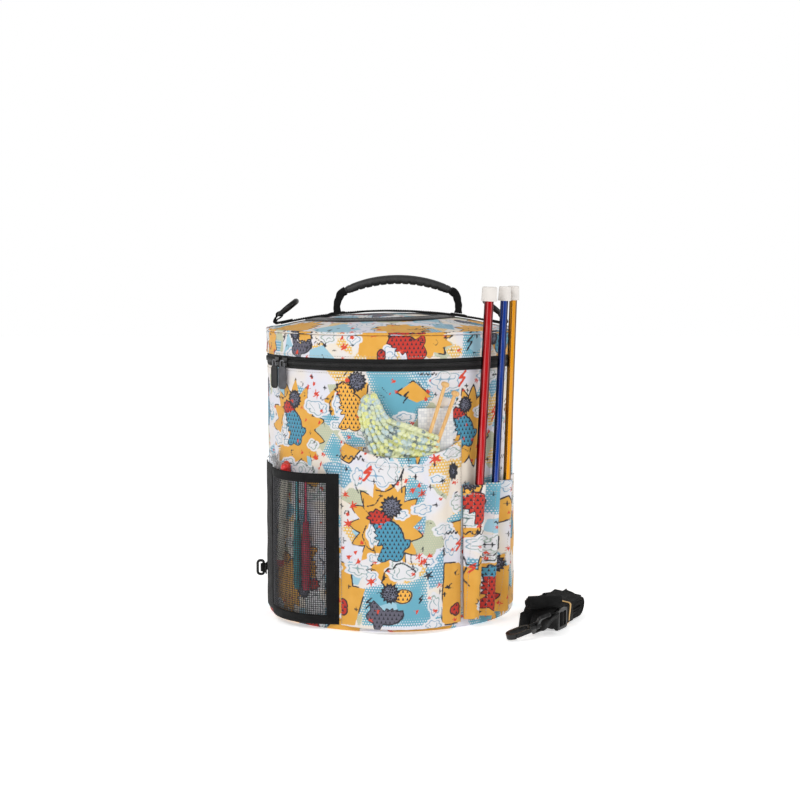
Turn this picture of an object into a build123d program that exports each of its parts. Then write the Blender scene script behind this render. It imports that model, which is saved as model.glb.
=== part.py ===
from build123d import *
from math import asin, atan2, cos, degrees, radians, sin, sqrt, tan
import os

# Round yarn and knitting bag: origin on the bag's axis at the floor, +Z up, -Y is the front.
# Azimuths are degrees round the bag from the front (-Y), positive towards +X.

BAG_R = 140.0
WALL = 3.0
LINING = 1.2
BASE_SEAM_Z = 11.0
WALL_TOP = 279.0
ZIP_Z = 285.5
LID_BOTTOM = 292.0
LID_RIM = 318.0
LID_R = 141.0
DOME_RISE = 18.0
DOME_R = (LID_R**2 + DOME_RISE**2) / (2 * DOME_RISE)
DOME_CENTRE_Z = LID_RIM + DOME_RISE - DOME_R

TEETH_R = 141.2
TAPE_R = 139.6
ROW_GAP = 1.2

POCKET_BACK = 140.2
FABRIC = 1.2
FRONT_POCKET = (-22.0, 33.0)
FRONT_POCKET_BULGE = 15.0
FRONT_CORNER_Z = 207.0
FRONT_SAG_Z = 191.0
NEEDLE_POCKET = (33.6, 80.0)
NEEDLE_POCKET_TOP = 156.0
MESH_POCKET = (-68.0, -24.0)
MESH_POCKET_TOP = 169.0
MESH_BULGE = 14.0
BINDING_WIDTH = 10.0
POCKET_BOTTOM = 6.0

NEEDLE_FOOT_Z = 18.0
NEEDLE_LENGTH = 350.0
CAP_HEIGHT = 15.5

HANDLE_X = 8.5
GRIP_HALF_SPAN = 61.5
GRIP_END_Z = 360.0
GRIP_MID_Z = 373.5
GRIP_THICK = 12.0
GRIP_WIDTH = 20.0
HANDLE_AXIS_Z = 343.2
LEG_HALF_WIDTH = 7.0
HANDLE_LEG_X = (-61.0, 77.0)

RING_PIVOT = (126.1, 333.8)
RING_LEAN = (-0.779, 0.628)
RING_WIRE = 4.0

HANK_DIRECTION = (0.5, 0.866)
HANK_CENTRE = (190.0, -92.0)
HANK_HALF_RUN = 46.0
HANK_LEFT, HANK_RIGHT = -25.0, 10.0
HANK_HEIGHT = 23.0

os.makedirs("parts", exist_ok=True)


def keep(piece, name):
    """Label a finished piece and write it as its own STEP file."""
    piece.part.label = name
    export_step(piece.part, f"parts/{name}.step")


def on_wall(radius, azimuth):
    """Plan position at a radius and azimuth round the bag."""
    return (radius * sin(radians(azimuth)), -radius * cos(radians(azimuth)))


def radial_plane(azimuth):
    """Upright plane through the bag's axis: local x is the radius, local y is up."""
    s = sin(radians(azimuth))
    c = cos(radians(azimuth))
    return Plane(origin=(0, 0, 0), x_dir=(s, -c, 0), z_dir=(-c, -s, 0))


def ring(name, inner, outer, low, high):
    """Plain round hoop of cloth, tape or teeth."""
    with BuildPart() as hoop:
        with BuildSketch(Plane.XY.offset(low)):
            Circle(outer)
            Circle(inner, mode=Mode.SUBTRACT)
        extrude(amount=high - low)
    keep(hoop, name)


def disc(name, radius, low, high):
    """Flat round panel."""
    with BuildPart() as panel:
        with BuildSketch(Plane.XY.offset(low)):
            Circle(radius)
        extrude(amount=high - low)
    keep(panel, name)


def sector(inner, outer, low, high, start, end):
    """Curved panel against the wall, between two azimuths."""
    with BuildPart() as panel:
        with BuildSketch(radial_plane(start)):
            with Locations(((inner + outer) / 2, (low + high) / 2)):
                Rectangle(outer - inner, high - low)
        revolve(axis=Axis.Z, revolution_arc=end - start)
    return panel.part


def lens(span, bulge):
    """Centre and radius of the circle that a pocket bulging off the wall follows."""
    half = radians((span[1] - span[0]) / 2)
    half_chord = POCKET_BACK * sin(half)
    rise = POCKET_BACK * (1 - cos(half)) + bulge
    radius = (half_chord**2 + rise**2) / (2 * rise)
    return on_wall(POCKET_BACK * cos(half) + rise - radius, (span[0] + span[1]) / 2), radius


def lens_shell(span, bulge, grow, thick, low, high):
    """Pocket front: a curved sheet whose two ends come back to the wall."""
    centre, radius = lens(span, bulge)
    with BuildPart() as shell:
        with BuildSketch(Plane.XY.offset(low)):
            with Locations(centre):
                Circle(radius + grow)
                Circle(radius + grow - thick, mode=Mode.SUBTRACT)
            Circle(POCKET_BACK, mode=Mode.SUBTRACT)
        extrude(amount=high - low)
    return shell.part


def lens_floor(span, bulge, low, thick):
    """Pocket bottom between the wall and the pocket front."""
    centre, radius = lens(span, bulge)
    with BuildPart() as floor:
        with BuildSketch(Plane.XY.offset(low)):
            with Locations(centre):
                Circle(radius - FABRIC / 2)
            Circle(POCKET_BACK, mode=Mode.SUBTRACT)
        extrude(amount=thick)
    return floor.part


def wedge_points(start, end, reach):
    """Corners of a pie slice from the bag's axis."""
    middle = (start + end) / 2
    return [(0, 0), on_wall(reach, start), on_wall(reach * 1.2, middle), on_wall(reach, end)]


def bag_shell():
    """Base, side wall and linings of the body."""
    with BuildPart() as band:
        with BuildSketch(Plane.XY):
            Circle(BAG_R)
            Circle(BAG_R - WALL, mode=Mode.SUBTRACT)
        extrude(amount=BASE_SEAM_Z)
        fillet(band.edges().filter_by(GeomType.CIRCLE).group_by(Axis.Z)[0].sort_by(SortBy.RADIUS)[-1], 2.0)
    keep(band, "base_band")
    base_r = BAG_R - WALL - 0.1
    disc("base_panel", base_r, 0, 1.6)
    disc("base_board", base_r, 1.6, 4.2)
    disc("base_lining", base_r, 4.2, 5.4)
    ring("body_wall", BAG_R - WALL, BAG_R, BASE_SEAM_Z, WALL_TOP)
    ring("side_lining", BAG_R - WALL - 0.1 - LINING, BAG_R - WALL - 0.1, 5.5, WALL_TOP)


def front_pocket():
    """Open printed pocket whose top edge sags between its corners."""
    left = on_wall(POCKET_BACK, FRONT_POCKET[0])[0] - 4
    right = on_wall(POCKET_BACK, FRONT_POCKET[1])[0] + 4
    top = FRONT_CORNER_Z + 20
    with BuildPart() as pocket:
        add(lens_shell(FRONT_POCKET, FRONT_POCKET_BULGE, 0, FABRIC, POCKET_BOTTOM, FRONT_CORNER_Z + 2))
        add(lens_floor(FRONT_POCKET, FRONT_POCKET_BULGE, POCKET_BOTTOM, FABRIC))
        with BuildSketch(Plane.XZ):
            with BuildLine():
                ThreePointArc((left, FRONT_CORNER_Z), ((left + right) / 2, FRONT_SAG_Z), (right, FRONT_CORNER_Z))
                Polyline((right, FRONT_CORNER_Z), (right, top), (left, top), (left, FRONT_CORNER_Z))
            make_face()
        extrude(amount=200, mode=Mode.SUBTRACT)
    keep(pocket, "front_pocket")


def mesh_pocket():
    """Net pocket, its woven binding with the floor, and the plain panel at its outer side."""
    low = POCKET_BOTTOM + BINDING_WIDTH
    high = MESH_POCKET_TOP - BINDING_WIDTH
    window = wedge_points(MESH_POCKET[0] + 4.5, MESH_POCKET[1] - 4.2, 190)
    with BuildPart() as binding:
        add(lens_shell(MESH_POCKET, MESH_BULGE, 0.4, 1.8, POCKET_BOTTOM, MESH_POCKET_TOP))
        add(lens_floor(MESH_POCKET, MESH_BULGE, POCKET_BOTTOM, 1.5))
        with BuildSketch(Plane.XY.offset(low)):
            with BuildLine():
                Polyline(*window, close=True)
            make_face()
        extrude(amount=high - low, mode=Mode.SUBTRACT)
    keep(binding, "mesh_pocket_binding")
    with BuildPart() as net:
        add(lens_shell(MESH_POCKET, MESH_BULGE, 0, 0.9, low + 0.05, high - 0.05))
        inset = wedge_points(MESH_POCKET[0] + 4.6, MESH_POCKET[1] - 4.3, 190)
        with BuildSketch(Plane.XY):
            with BuildLine():
                Polyline(*inset, close=True)
            make_face()
        extrude(amount=MESH_POCKET_TOP, mode=Mode.INTERSECT)
    keep(net, "mesh_pocket_net")
    with BuildPart() as side:
        add(sector(POCKET_BACK, POCKET_BACK + 1.6, POCKET_BOTTOM, MESH_POCKET_TOP, -87.0, -70.5))
    keep(side, "mesh_pocket_side")


def needle_line(slot_x, lean, radius):
    """Foot and unit direction of a needle that leans out of its sleeve."""
    slope = tan(radians(lean))
    foot_x = slot_x - (NEEDLE_POCKET_TOP - NEEDLE_FOOT_Z) * slope
    zip_x = slot_x + (ZIP_Z - NEEDLE_POCKET_TOP) * slope
    foot = Vector(foot_x, -sqrt((141.0 + radius) ** 2 - foot_x**2), NEEDLE_FOOT_Z)
    at_zip = Vector(zip_x, -sqrt((148.4 + radius) ** 2 - zip_x**2), ZIP_Z)
    return foot, (at_zip - foot).normalized()


NEEDLES = {
    "red": (96.0, 2.7, 5.0, 8.5),
    "blue": (114.0, 2.6, 4.25, 7.0),
    "gold": (128.0, 1.6, 4.25, 6.75),
}


def needle_pocket():
    """Printed panel stitched down between three sleeves, one for each pair of needles."""
    with BuildPart() as pocket:
        add(sector(POCKET_BACK, POCKET_BACK + FABRIC, POCKET_BOTTOM + 4, NEEDLE_POCKET_TOP, *NEEDLE_POCKET))
        for slot_x, lean, radius, _ in NEEDLES.values():
            foot, direction = needle_line(slot_x, lean, radius)
            with BuildSketch(Plane(origin=foot - direction * 12, z_dir=direction)):
                Circle(radius + 0.35 + FABRIC)
            extrude(amount=170)
        for slot_x, lean, radius, _ in NEEDLES.values():
            foot, direction = needle_line(slot_x, lean, radius)
            with BuildSketch(Plane(origin=foot - direction * 0.5, z_dir=direction)):
                Circle(radius + 0.35)
            extrude(amount=170, mode=Mode.SUBTRACT)
        with BuildSketch(Plane.XY):
            Circle(POCKET_BACK)
        extrude(amount=ZIP_Z, mode=Mode.SUBTRACT)
        split(bisect_by=Plane.XY.offset(NEEDLE_POCKET_TOP), keep=Keep.BOTTOM)
        split(bisect_by=Plane.XY.offset(POCKET_BOTTOM + 4), keep=Keep.TOP)
    keep(pocket, "needle_pocket")


def metal_needles():
    """Single-point needles with a plastic cap over the end."""
    for colour, (slot_x, lean, radius, cap_r) in NEEDLES.items():
        foot, direction = needle_line(slot_x, lean, radius)
        shaft = NEEDLE_LENGTH - CAP_HEIGHT
        with BuildPart() as needle:
            with BuildSketch(Plane(origin=foot + direction * 14, z_dir=direction)):
                Circle(radius)
            with BuildSketch(Plane(origin=foot, z_dir=direction)):
                Circle(0.8)
            loft()
            with BuildSketch(Plane(origin=foot + direction * 14, z_dir=direction)):
                Circle(radius)
            extrude(amount=shaft - 14)
        keep(needle, f"needle_{colour}")
        with BuildPart() as cap:
            with BuildSketch(Plane(origin=foot + direction * shaft, z_dir=direction)):
                Circle(cap_r)
            extrude(amount=CAP_HEIGHT, taper=2)
            fillet(cap.edges().filter_by(GeomType.CIRCLE).sort_by(Axis.Z)[-1], 1.5)
        keep(cap, f"needle_cap_{colour}")


def zip_chain():
    """Tapes and tooth rows of the zip round the lid, and the cloth hinge behind."""
    low_row = ZIP_Z - ROW_GAP / 2
    high_row = ZIP_Z + ROW_GAP / 2
    ring("zip_tape_lower", TAPE_R - 1, TAPE_R, WALL_TOP, low_row - 0.7)
    ring("zip_teeth_lower", TAPE_R + 0.1, TEETH_R, low_row - 1.9, low_row)
    ring("zip_tape_upper", TAPE_R - 1, TAPE_R, high_row + 0.7, LID_BOTTOM)
    ring("zip_teeth_upper", TAPE_R + 0.1, TEETH_R, high_row, high_row + 1.9)
    with BuildPart() as hinge:
        add(sector(BAG_R + 0.2, BAG_R + 1.2, 268.0, low_row - 2.2, 155, 205))
    keep(hinge, "hinge_panel")


SLIDERS = {"left": -60.5, "right": -53.5}
BAIL_R = 145.6


def zip_pulls():
    """Two sliders, each with a wire link and a rubber tab."""
    for side, azimuth in SLIDERS.items():
        plane = radial_plane(azimuth)
        with BuildPart() as slider:
            with BuildSketch(plane):
                with Locations((142.1, ZIP_Z), (137.6, ZIP_Z)):
                    RectangleRounded(1.2, 9.0, 0.4)
            extrude(amount=4.75, both=True)
            with BuildSketch(plane):
                with Locations((139.9, ZIP_Z)):
                    Rectangle(3.8, 0.7)
            extrude(amount=2, both=True)
            with BuildSketch(plane):
                with Locations((BAIL_R, ZIP_Z)):
                    Rectangle(1.2, 1.2)
            extrude(amount=4, both=True)
            for offset in (-3.4, 3.4):
                with BuildSketch(plane.offset(offset)):
                    with Locations((BAIL_R - 1.5, ZIP_Z)):
                        Rectangle(4.2, 1.2)
                extrude(amount=0.6, both=True)
        keep(slider, f"zip_slider_{side}")
        with BuildPart() as link:
            with BuildSketch(plane):
                with Locations((BAIL_R, ZIP_Z)):
                    Circle(2.25)
                with Locations((BAIL_R, ZIP_Z - 3.3)):
                    Rectangle(1.0, 2.4)
                with Locations((BAIL_R, ZIP_Z)):
                    Circle(1.25, mode=Mode.SUBTRACT)
            extrude(amount=0.5, both=True)
        keep(link, f"pull_link_{side}")
        with BuildPart() as tab:
            with BuildSketch(plane):
                with Locations((BAIL_R, 268.5)):
                    RectangleRounded(2.4, 25.0, 1.0)
            extrude(amount=5, both=True)
        keep(tab, f"pull_tab_{side}")


def dome_shell(inner, outer):
    """Spherical sheet that follows the lid's crown, made apart from any open part."""
    centre = Location((0, 0, DOME_CENTRE_Z))
    return centre * (Sphere(DOME_R + outer, mode=Mode.PRIVATE) - Sphere(DOME_R + inner, mode=Mode.PRIVATE))


def dome_height(x):
    """Height of the crown over a point on the X axis."""
    return DOME_CENTRE_Z + sqrt(DOME_R**2 - x**2)


def lid():
    """Side band, crown, piping and lining of the lid."""
    ring("lid_side", LID_R - WALL, LID_R, LID_BOTTOM, LID_RIM - 1.6)
    with BuildPart() as crown:
        with BuildSketch(Plane.XY.offset(LID_RIM - 6)):
            Circle(LID_R - WALL - 0.3)
        extrude(amount=DOME_RISE + 10)
        add(dome_shell(-WALL, 0), mode=Mode.INTERSECT)
    keep(crown, "lid_crown")
    with BuildPart() as piping:
        with Locations((0, 0, LID_RIM + 0.3)):
            Torus(LID_R - 1.4, 1.6)
    keep(piping, "lid_piping")
    with BuildPart() as lining:
        with BuildSketch(Plane.XY.offset(LID_BOTTOM + 0.4)):
            Circle(LID_R - WALL - 0.3)
            Circle(LID_R - WALL - 0.3 - LINING, mode=Mode.SUBTRACT)
        extrude(amount=LID_RIM - LID_BOTTOM - 4.6)
        with BuildSketch(Plane.XY.offset(LID_RIM - 5.4)):
            Circle(LID_R - WALL - 0.3)
        extrude(amount=LINING)
    keep(lining, "lid_lining")


def lid_trim():
    """Bound ring on the crown and the webbing that crosses it, with a loop at each end."""
    with BuildPart() as bound:
        with BuildSketch(Plane.XY.offset(LID_RIM)):
            with Locations((-12, 0)):
                Circle(85)
                Circle(67, mode=Mode.SUBTRACT)
        extrude(amount=DOME_RISE + 10)
        add(dome_shell(0.05, 1.1), mode=Mode.INTERSECT)
    keep(bound, "lid_bound_ring")
    with BuildPart() as webbing:
        with BuildSketch(Plane.XY.offset(LID_RIM)):
            Rectangle(266, 22)
        extrude(amount=DOME_RISE + 10)
        add(dome_shell(1.3, 2.8), mode=Mode.INTERSECT)
        for leg_x in HANDLE_LEG_X:
            top = HANDLE_AXIS_Z - LEG_HALF_WIDTH - 0.4
            low = dome_height(leg_x) + 2.4
            with Locations((leg_x, 0, (top + low) / 2)):
                Box(16, 22, top - low)
        for side in (-1, 1):
            pivot = (side * RING_PIVOT[0], RING_PIVOT[1])
            run = 13.0
            foot = (pivot[0] - side * RING_LEAN[0] * run, pivot[1] - RING_LEAN[1] * run)
            with BuildSketch(Plane.XZ):
                with BuildLine():
                    Polyline(
                        (foot[0] - side * 3.0, foot[1] - 4.6),
                        (foot[0] + side * 0.2, foot[1] - 2.6),
                        (pivot[0] + side * 2.6, pivot[1] + 2.2),
                        (pivot[0] - side * 2.6, pivot[1] - 2.2),
                        (foot[0] - side * 5.5, foot[1] - 2.4),
                        close=True,
                    )
                make_face()
                with Locations(pivot):
                    Circle(RING_WIRE / 2 + 2.2)
            extrude(amount=10.5, both=True)
            with BuildSketch(Plane.XZ):
                with Locations(pivot):
                    Circle(RING_WIRE / 2 + 0.4)
            extrude(amount=12, both=True, mode=Mode.SUBTRACT)
    keep(webbing, "lid_webbing")


def d_ring(name, plane, half_width, length, corner, crown, wire):
    """Wire D: a straight bar along local x through the origin and a rounded bow along local y."""
    points = [(-half_width, 0), (half_width, 0), (half_width, length), (-half_width, length)]
    with BuildPart() as loop:
        with BuildLine(plane):
            FilletPolyline(*points, radius=[corner, corner, crown, crown], close=True)
        with BuildSketch(Plane(origin=plane.origin, z_dir=plane.x_dir)):
            Circle(wire / 2)
        sweep()
    keep(loop, name)


def rings():
    """The two shoulder-strap rings on the lid and the small one low on the side."""
    reach = 24.0
    for name, side in (("d_ring_left", -1), ("d_ring_right", 1)):
        lean = Vector(side * RING_LEAN[0], 0, RING_LEAN[1])
        across = Vector(0, 1, 0)
        plane = Plane(
            origin=(side * RING_PIVOT[0], 0, RING_PIVOT[1]), x_dir=across, z_dir=across.cross(lean)
        )
        d_ring(name, plane, 15.0, reach, 4.0, 12.0, RING_WIRE)
    low_plane = Plane(origin=(-146.4, 0, 43.0), x_dir=(0, 0, 1), z_dir=(0, -1, 0))
    d_ring("d_ring_lower", low_plane, 8.0, 7.0, 2.6, 3.3, 3.0)
    with BuildPart() as tab:
        add(sector(142.0, 143.6, 36.0, 50.0, -98, -82))
        with BuildSketch(Plane.XY.offset(38.4)):
            with Locations((-146.4, 0)):
                Circle(3.4)
        extrude(amount=9.2)
        with BuildSketch(Plane.XY.offset(30)):
            with Locations((-146.4, 0)):
                Circle(1.8)
        extrude(amount=30, mode=Mode.SUBTRACT)
    keep(tab, "lower_ring_tab")


def handle():
    """Moulded grip over a webbing loop that hinges where it is sewn to the crown."""
    left_x = HANDLE_X - GRIP_HALF_SPAN
    right_x = HANDLE_X + GRIP_HALF_SPAN
    rise = GRIP_MID_Z - GRIP_END_Z
    arc_r = (GRIP_HALF_SPAN**2 + rise**2) / (2 * rise)
    slope = asin(GRIP_HALF_SPAN / arc_r)
    with BuildPart() as grip:
        with BuildLine(Plane.XZ) as spine:
            ThreePointArc((left_x, GRIP_END_Z), (HANDLE_X, GRIP_MID_Z), (right_x, GRIP_END_Z))
        with BuildSketch(Plane(origin=spine.line @ 0, x_dir=(0, 1, 0), z_dir=spine.line % 0)):
            RectangleRounded(GRIP_WIDTH, GRIP_THICK, 4.5)
        sweep(path=spine.line)
        for step in range(-4, 5):
            turn = step * 12.0 / arc_r
            notch = (HANDLE_X + (arc_r - 6) * sin(turn), GRIP_MID_Z - arc_r + (arc_r - 6) * cos(turn))
            with BuildSketch(Plane.XZ):
                with Locations(notch):
                    Circle(1.3)
            extrude(amount=6.5, both=True, mode=Mode.SUBTRACT)
    keep(grip, "handle_grip")
    half = GRIP_THICK / 2 - 1
    along = (cos(slope), sin(slope))
    with BuildPart() as legs:
        for side, leg_x, end_x in ((1, HANDLE_LEG_X[0], left_x), (-1, HANDLE_LEG_X[1], right_x)):
            with BuildSketch(Plane.XZ):
                with BuildLine():
                    Polyline(
                        (leg_x - side * 5, HANDLE_AXIS_Z),
                        (leg_x + side * 5, HANDLE_AXIS_Z),
                        (end_x + side * along[1] * half, GRIP_END_Z - along[0] * half),
                        (end_x - side * along[1] * half, GRIP_END_Z + along[0] * half),
                        (leg_x - side * 2.5, GRIP_END_Z - 1),
                        close=True,
                    )
                make_face()
            extrude(amount=LEG_HALF_WIDTH, both=True)
            with BuildSketch(Plane.YZ.offset(leg_x)):
                with Locations((0, HANDLE_AXIS_Z)):
                    Circle(LEG_HALF_WIDTH)
            extrude(amount=5, both=True)
    keep(legs, "handle_webbing")


def knitting():
    """Piece of knitting with two bamboo needles and a card, all standing in the front pocket."""
    centre, radius = lens(FRONT_POCKET, FRONT_POCKET_BULGE)
    with BuildPart() as piece:
        with BuildSketch(Plane.XY.offset(60)):
            with Locations(centre):
                Circle(radius - FABRIC - 0.4)
            Circle(145.5, mode=Mode.SUBTRACT)
        extrude(amount=205)
        with BuildSketch(Plane.XZ):
            with BuildLine():
                Polyline((-30, 60), (-31, 245), (-23, 254.5), (-13, 253), (50, 213), (53, 60), close=True)
            make_face()
        extrude(amount=200, mode=Mode.INTERSECT)
    keep(piece, "knitted_piece")
    with BuildPart() as bamboo:
        for knob, tip in (
            (Vector(59, -140.6, 266), Vector(-16.1, -143.5, 27.6)),
            (Vector(70, -135.5, 256), Vector(-15.5, -148.2, 21.0)),
        ):
            direction = (tip - knob).normalized()
            with BuildSketch(Plane(origin=knob, z_dir=direction)):
                Circle(4.4)
            extrude(amount=5)
            with BuildSketch(Plane(origin=knob, z_dir=direction)):
                Circle(2.0)
            extrude(amount=(tip - knob).length - 8)
            with BuildSketch(Plane(origin=tip - direction * 8, z_dir=direction)):
                Circle(2.0)
            extrude(amount=8, taper=10)
    keep(bamboo, "bamboo_needles")
    with BuildPart() as card:
        add(sector(142.0, 142.6, 172.0, 240.0, 12, 28))
    keep(card, "pattern_card")


HOOKS = {"teal": -100.6, "crimson": -90.8}
HOOK_RING_R = 146.3


def crochet_hooks():
    """Crochet hooks: a metal shank with a hooked tip in a moulded grip."""
    for colour, x in HOOKS.items():
        y = -sqrt(HOOK_RING_R**2 - x**2)
        with BuildPart() as grip:
            for low, high, start_r, end_r in ((41, 46, 3.4, 4.4), (46, 92, 4.4, 4.7), (92, 115, 4.7, 3.0)):
                with BuildSketch(Plane.XY.offset(low)):
                    with Locations((x, y)):
                        Circle(start_r)
                with BuildSketch(Plane.XY.offset(high)):
                    with Locations((x, y)):
                        Circle(end_r)
                loft()
            with BuildSketch(Plane.XY.offset(100)):
                with Locations((x, y)):
                    Circle(2.1)
            extrude(amount=16, mode=Mode.SUBTRACT)
        keep(grip, f"hook_grip_{colour}")
        with BuildPart() as shank:
            with BuildSketch(Plane.XY.offset(100)):
                with Locations((x, y)):
                    Circle(2.0)
            extrude(amount=66)
            fillet(shank.edges().filter_by(GeomType.CIRCLE).sort_by(Axis.Z)[-1], 1.5)
            with BuildSketch(Plane.XZ.offset(-y + 3)):
                with BuildLine():
                    Polyline((x - 3, 158.5), (x - 0.2, 157), (x - 0.2, 159.5), (x - 3, 162), close=True)
                make_face()
            extrude(amount=-6, mode=Mode.SUBTRACT)
        keep(shank, f"hook_shank_{colour}")


CASE_TOP = Vector(-114.0, -sqrt(146.6**2 - 114.0**2), 175.0)
CASE_FOOT = Vector(-121.5, -sqrt(145.2**2 - 121.5**2), 60.0)


def needle_case():
    """Slim tube for sewing needles with a domed stopper at each end."""
    direction = (CASE_TOP - CASE_FOOT).normalized()
    length = (CASE_TOP - CASE_FOOT).length
    with BuildPart() as tube:
        with BuildSketch(Plane(origin=CASE_FOOT + direction * 8, z_dir=direction)):
            Circle(4.1)
        extrude(amount=length - 8 - 14)
    keep(tube, "needle_case")
    with BuildPart() as caps:
        with BuildSketch(Plane(origin=CASE_TOP - direction * 14, z_dir=direction)):
            Circle(4.9)
        extrude(amount=14)
        fillet(caps.edges().filter_by(GeomType.CIRCLE).sort_by(Axis.Z)[-1], 4.0)
        with BuildSketch(Plane(origin=CASE_FOOT, z_dir=direction)):
            Circle(4.3)
        extrude(amount=8)
        fillet(caps.edges().filter_by(GeomType.CIRCLE).sort_by(Axis.Z)[0], 2.5)
    keep(caps, "needle_case_caps")


TASSEL_FOOT = Vector(*on_wall(143.0, -58.5), 110.0)
TASSEL_TOP = Vector(*on_wall(145.3, -61.0), 190.0)


def tassel():
    """Spare yarn tucked into the net pocket, fanning out above its edge."""
    direction = (TASSEL_TOP - TASSEL_FOOT).normalized()
    with BuildPart() as yarn:
        with BuildSketch(Plane(origin=TASSEL_FOOT, z_dir=direction)):
            Circle(2.0)
        extrude(amount=63)
        with BuildSketch(Plane(origin=TASSEL_FOOT + direction * 63, z_dir=direction)):
            Circle(2.0)
        with BuildSketch(Plane(origin=TASSEL_TOP, z_dir=direction)):
            Circle(5.0)
        loft()
    keep(yarn, "yarn_tassel")


def hank_point(along, across):
    """Plan position on the strap hank: along its length and across it, away from the bag."""
    u, v = HANK_DIRECTION
    return (HANK_CENTRE[0] + u * along + v * across, HANK_CENTRE[1] + v * along - u * across)


HANK_ANGLE = degrees(atan2(HANK_DIRECTION[1], HANK_DIRECTION[0]))
BAND_HALF = 2.3
BAND_AT = -6.0


def hank_block(along, length, grow, low, high):
    """Block square to the hank, standing proud of its two sides by some length."""
    middle = (HANK_LEFT + HANK_RIGHT) / 2
    with BuildPart() as block:
        with BuildSketch(Plane.XY.offset(low)):
            with Locations(Location(hank_point(along, middle) + (0,), (0, 0, HANK_ANGLE))):
                Rectangle(length, HANK_RIGHT - HANK_LEFT + 2 * grow)
        extrude(amount=high - low)
    return block.part


def strap():
    """Shoulder strap folded flat into a hank, with its rubber band and slide buckle."""
    level = HANK_DIRECTION + (0,)
    normal = (HANK_DIRECTION[1], -HANK_DIRECTION[0], 0)
    side = Plane(
        origin=hank_point(-7, HANK_LEFT) + (HANK_HEIGHT / 2,), x_dir=level, z_dir=normal
    )
    roll_axis = Vector(0.970, 0.242, 0)
    with BuildPart() as hank:
        with BuildSketch(side):
            SlotOverall(2 * HANK_HALF_RUN, HANK_HEIGHT)
        extrude(amount=HANK_RIGHT - HANK_LEFT)
        with BuildSketch(Plane(origin=Vector(166, -127, 30.2) - roll_axis * 18, z_dir=roll_axis)):
            Circle(8)
        extrude(amount=36)
        with BuildSketch(Plane.XY.offset(2)):
            with Locations(Location((145.5, -119, 0), (0, 0, 60))):
                SlotOverall(18, 12)
        extrude(amount=19)
        with BuildSketch(Plane.XY.offset(1.5)):
            with Locations(Location((172.2, -141.5, 0), (0, 0, 80))):
                Rectangle(15, 2.4)
            with Locations(Location((204.0, -53.0, 0), (0, 0, 100))):
                Rectangle(15, 2.4)
        extrude(amount=19.5)
        add(hank_block(BAND_AT, 2 * BAND_HALF + 0.4, 3, 0, HANK_HEIGHT + 3), mode=Mode.SUBTRACT)
        add(hank_block(BAND_AT, 2 * BAND_HALF + 0.5, -1.8, 1.8, HANK_HEIGHT - 1.8))
    keep(hank, "strap_webbing")
    with BuildPart() as band:
        add(hank_block(BAND_AT, 2 * BAND_HALF, 0.2, 0, HANK_HEIGHT))
        add(hank_block(BAND_AT, 2 * BAND_HALF, -1.5, 1.5, HANK_HEIGHT - 1.5), mode=Mode.SUBTRACT)
    keep(band, "rubber_band")
    with BuildPart() as buckle:
        centre = hank_point(-31, HANK_RIGHT + 1.6)
        with BuildSketch(Plane(origin=centre + (11.8,), x_dir=level, z_dir=normal)):
            RectangleRounded(23, 22, 3)
            with Locations((-5.1, 0), (5.1, 0)):
                RectangleRounded(6.2, 16, 1, mode=Mode.SUBTRACT)
        extrude(amount=1.4, both=True)
    keep(buckle, "strap_slider")


SNAP_HOOKS = {
    "front": (Vector(156.0, -162.0, 13.6), Vector(-0.887, -0.385, -0.253), 40.0),
    "rear": (Vector(181.0, -36.0, 13.6), Vector(-0.484, -0.838, -0.253), 12.0),
}


def hook_plane(origin, direction, tilt):
    """Plane of a snap hook part: local x along the hook, tilted about that line."""
    level = Vector(-direction.Y, direction.X, 0).normalized()
    up = direction.cross(level).normalized()
    across = level * cos(radians(tilt)) + up * sin(radians(tilt))
    return Plane(origin=origin, x_dir=direction, z_dir=direction.cross(across))


def snap_hooks():
    """Swivel snap hooks: eye on the strap, turning hook body and its sprung gate."""
    with BuildPart() as eyes:
        for origin, direction, tilt in SNAP_HOOKS.values():
            with BuildSketch(hook_plane(origin, direction, tilt)):
                with Locations((-3.75, 0)):
                    RectangleRounded(14.5, 37, 2.5)
                    RectangleRounded(7.5, 31, 1, mode=Mode.SUBTRACT)
            extrude(amount=1.75, both=True)
            with BuildSketch(Plane(origin=origin, z_dir=direction)):
                Circle(4.2)
            extrude(amount=3.6)
        for origin, direction, _ in SNAP_HOOKS.values():
            with BuildSketch(Plane(origin=origin - direction, z_dir=direction)):
                Circle(1.68)
            extrude(amount=8, mode=Mode.SUBTRACT)
    keep(eyes, "snap_hook_eyes")
    for name, (origin, direction, _) in SNAP_HOOKS.items():
        flat = hook_plane(origin, direction, 0)
        with BuildPart() as hook:
            with BuildSketch(flat):
                with Locations((23.5, 0)):
                    SlotOverall(29, 18)
                    SlotOverall(21.5, 9.6, mode=Mode.SUBTRACT)
                with Locations((22.3, 7.5)):
                    Rectangle(18.2, 6.2, mode=Mode.SUBTRACT)
            extrude(amount=2.75, both=True)
            with BuildSketch(Plane(origin=origin + direction * 3.95, z_dir=direction)):
                Circle(3.6)
            extrude(amount=6.5)
            with BuildSketch(Plane(origin=origin - direction * 0.5, z_dir=direction)):
                Circle(1.6)
            extrude(amount=6)
            with BuildSketch(Plane(origin=origin - direction * 2.3, z_dir=direction)):
                Circle(2.9)
            extrude(amount=1.9)
        keep(hook, f"snap_hook_{name}")
        with BuildPart() as gate:
            with BuildSketch(flat):
                with Locations((22.3, 6.9)):
                    SlotOverall(17.4, 3.4)
            extrude(amount=2.2, both=True)
        keep(gate, f"snap_gate_{name}")


bag_shell()
front_pocket()
mesh_pocket()
needle_pocket()
metal_needles()
zip_chain()
zip_pulls()
lid()
lid_trim()
rings()
handle()
knitting()
crochet_hooks()
needle_case()
tassel()
strap()
snap_hooks()
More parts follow.
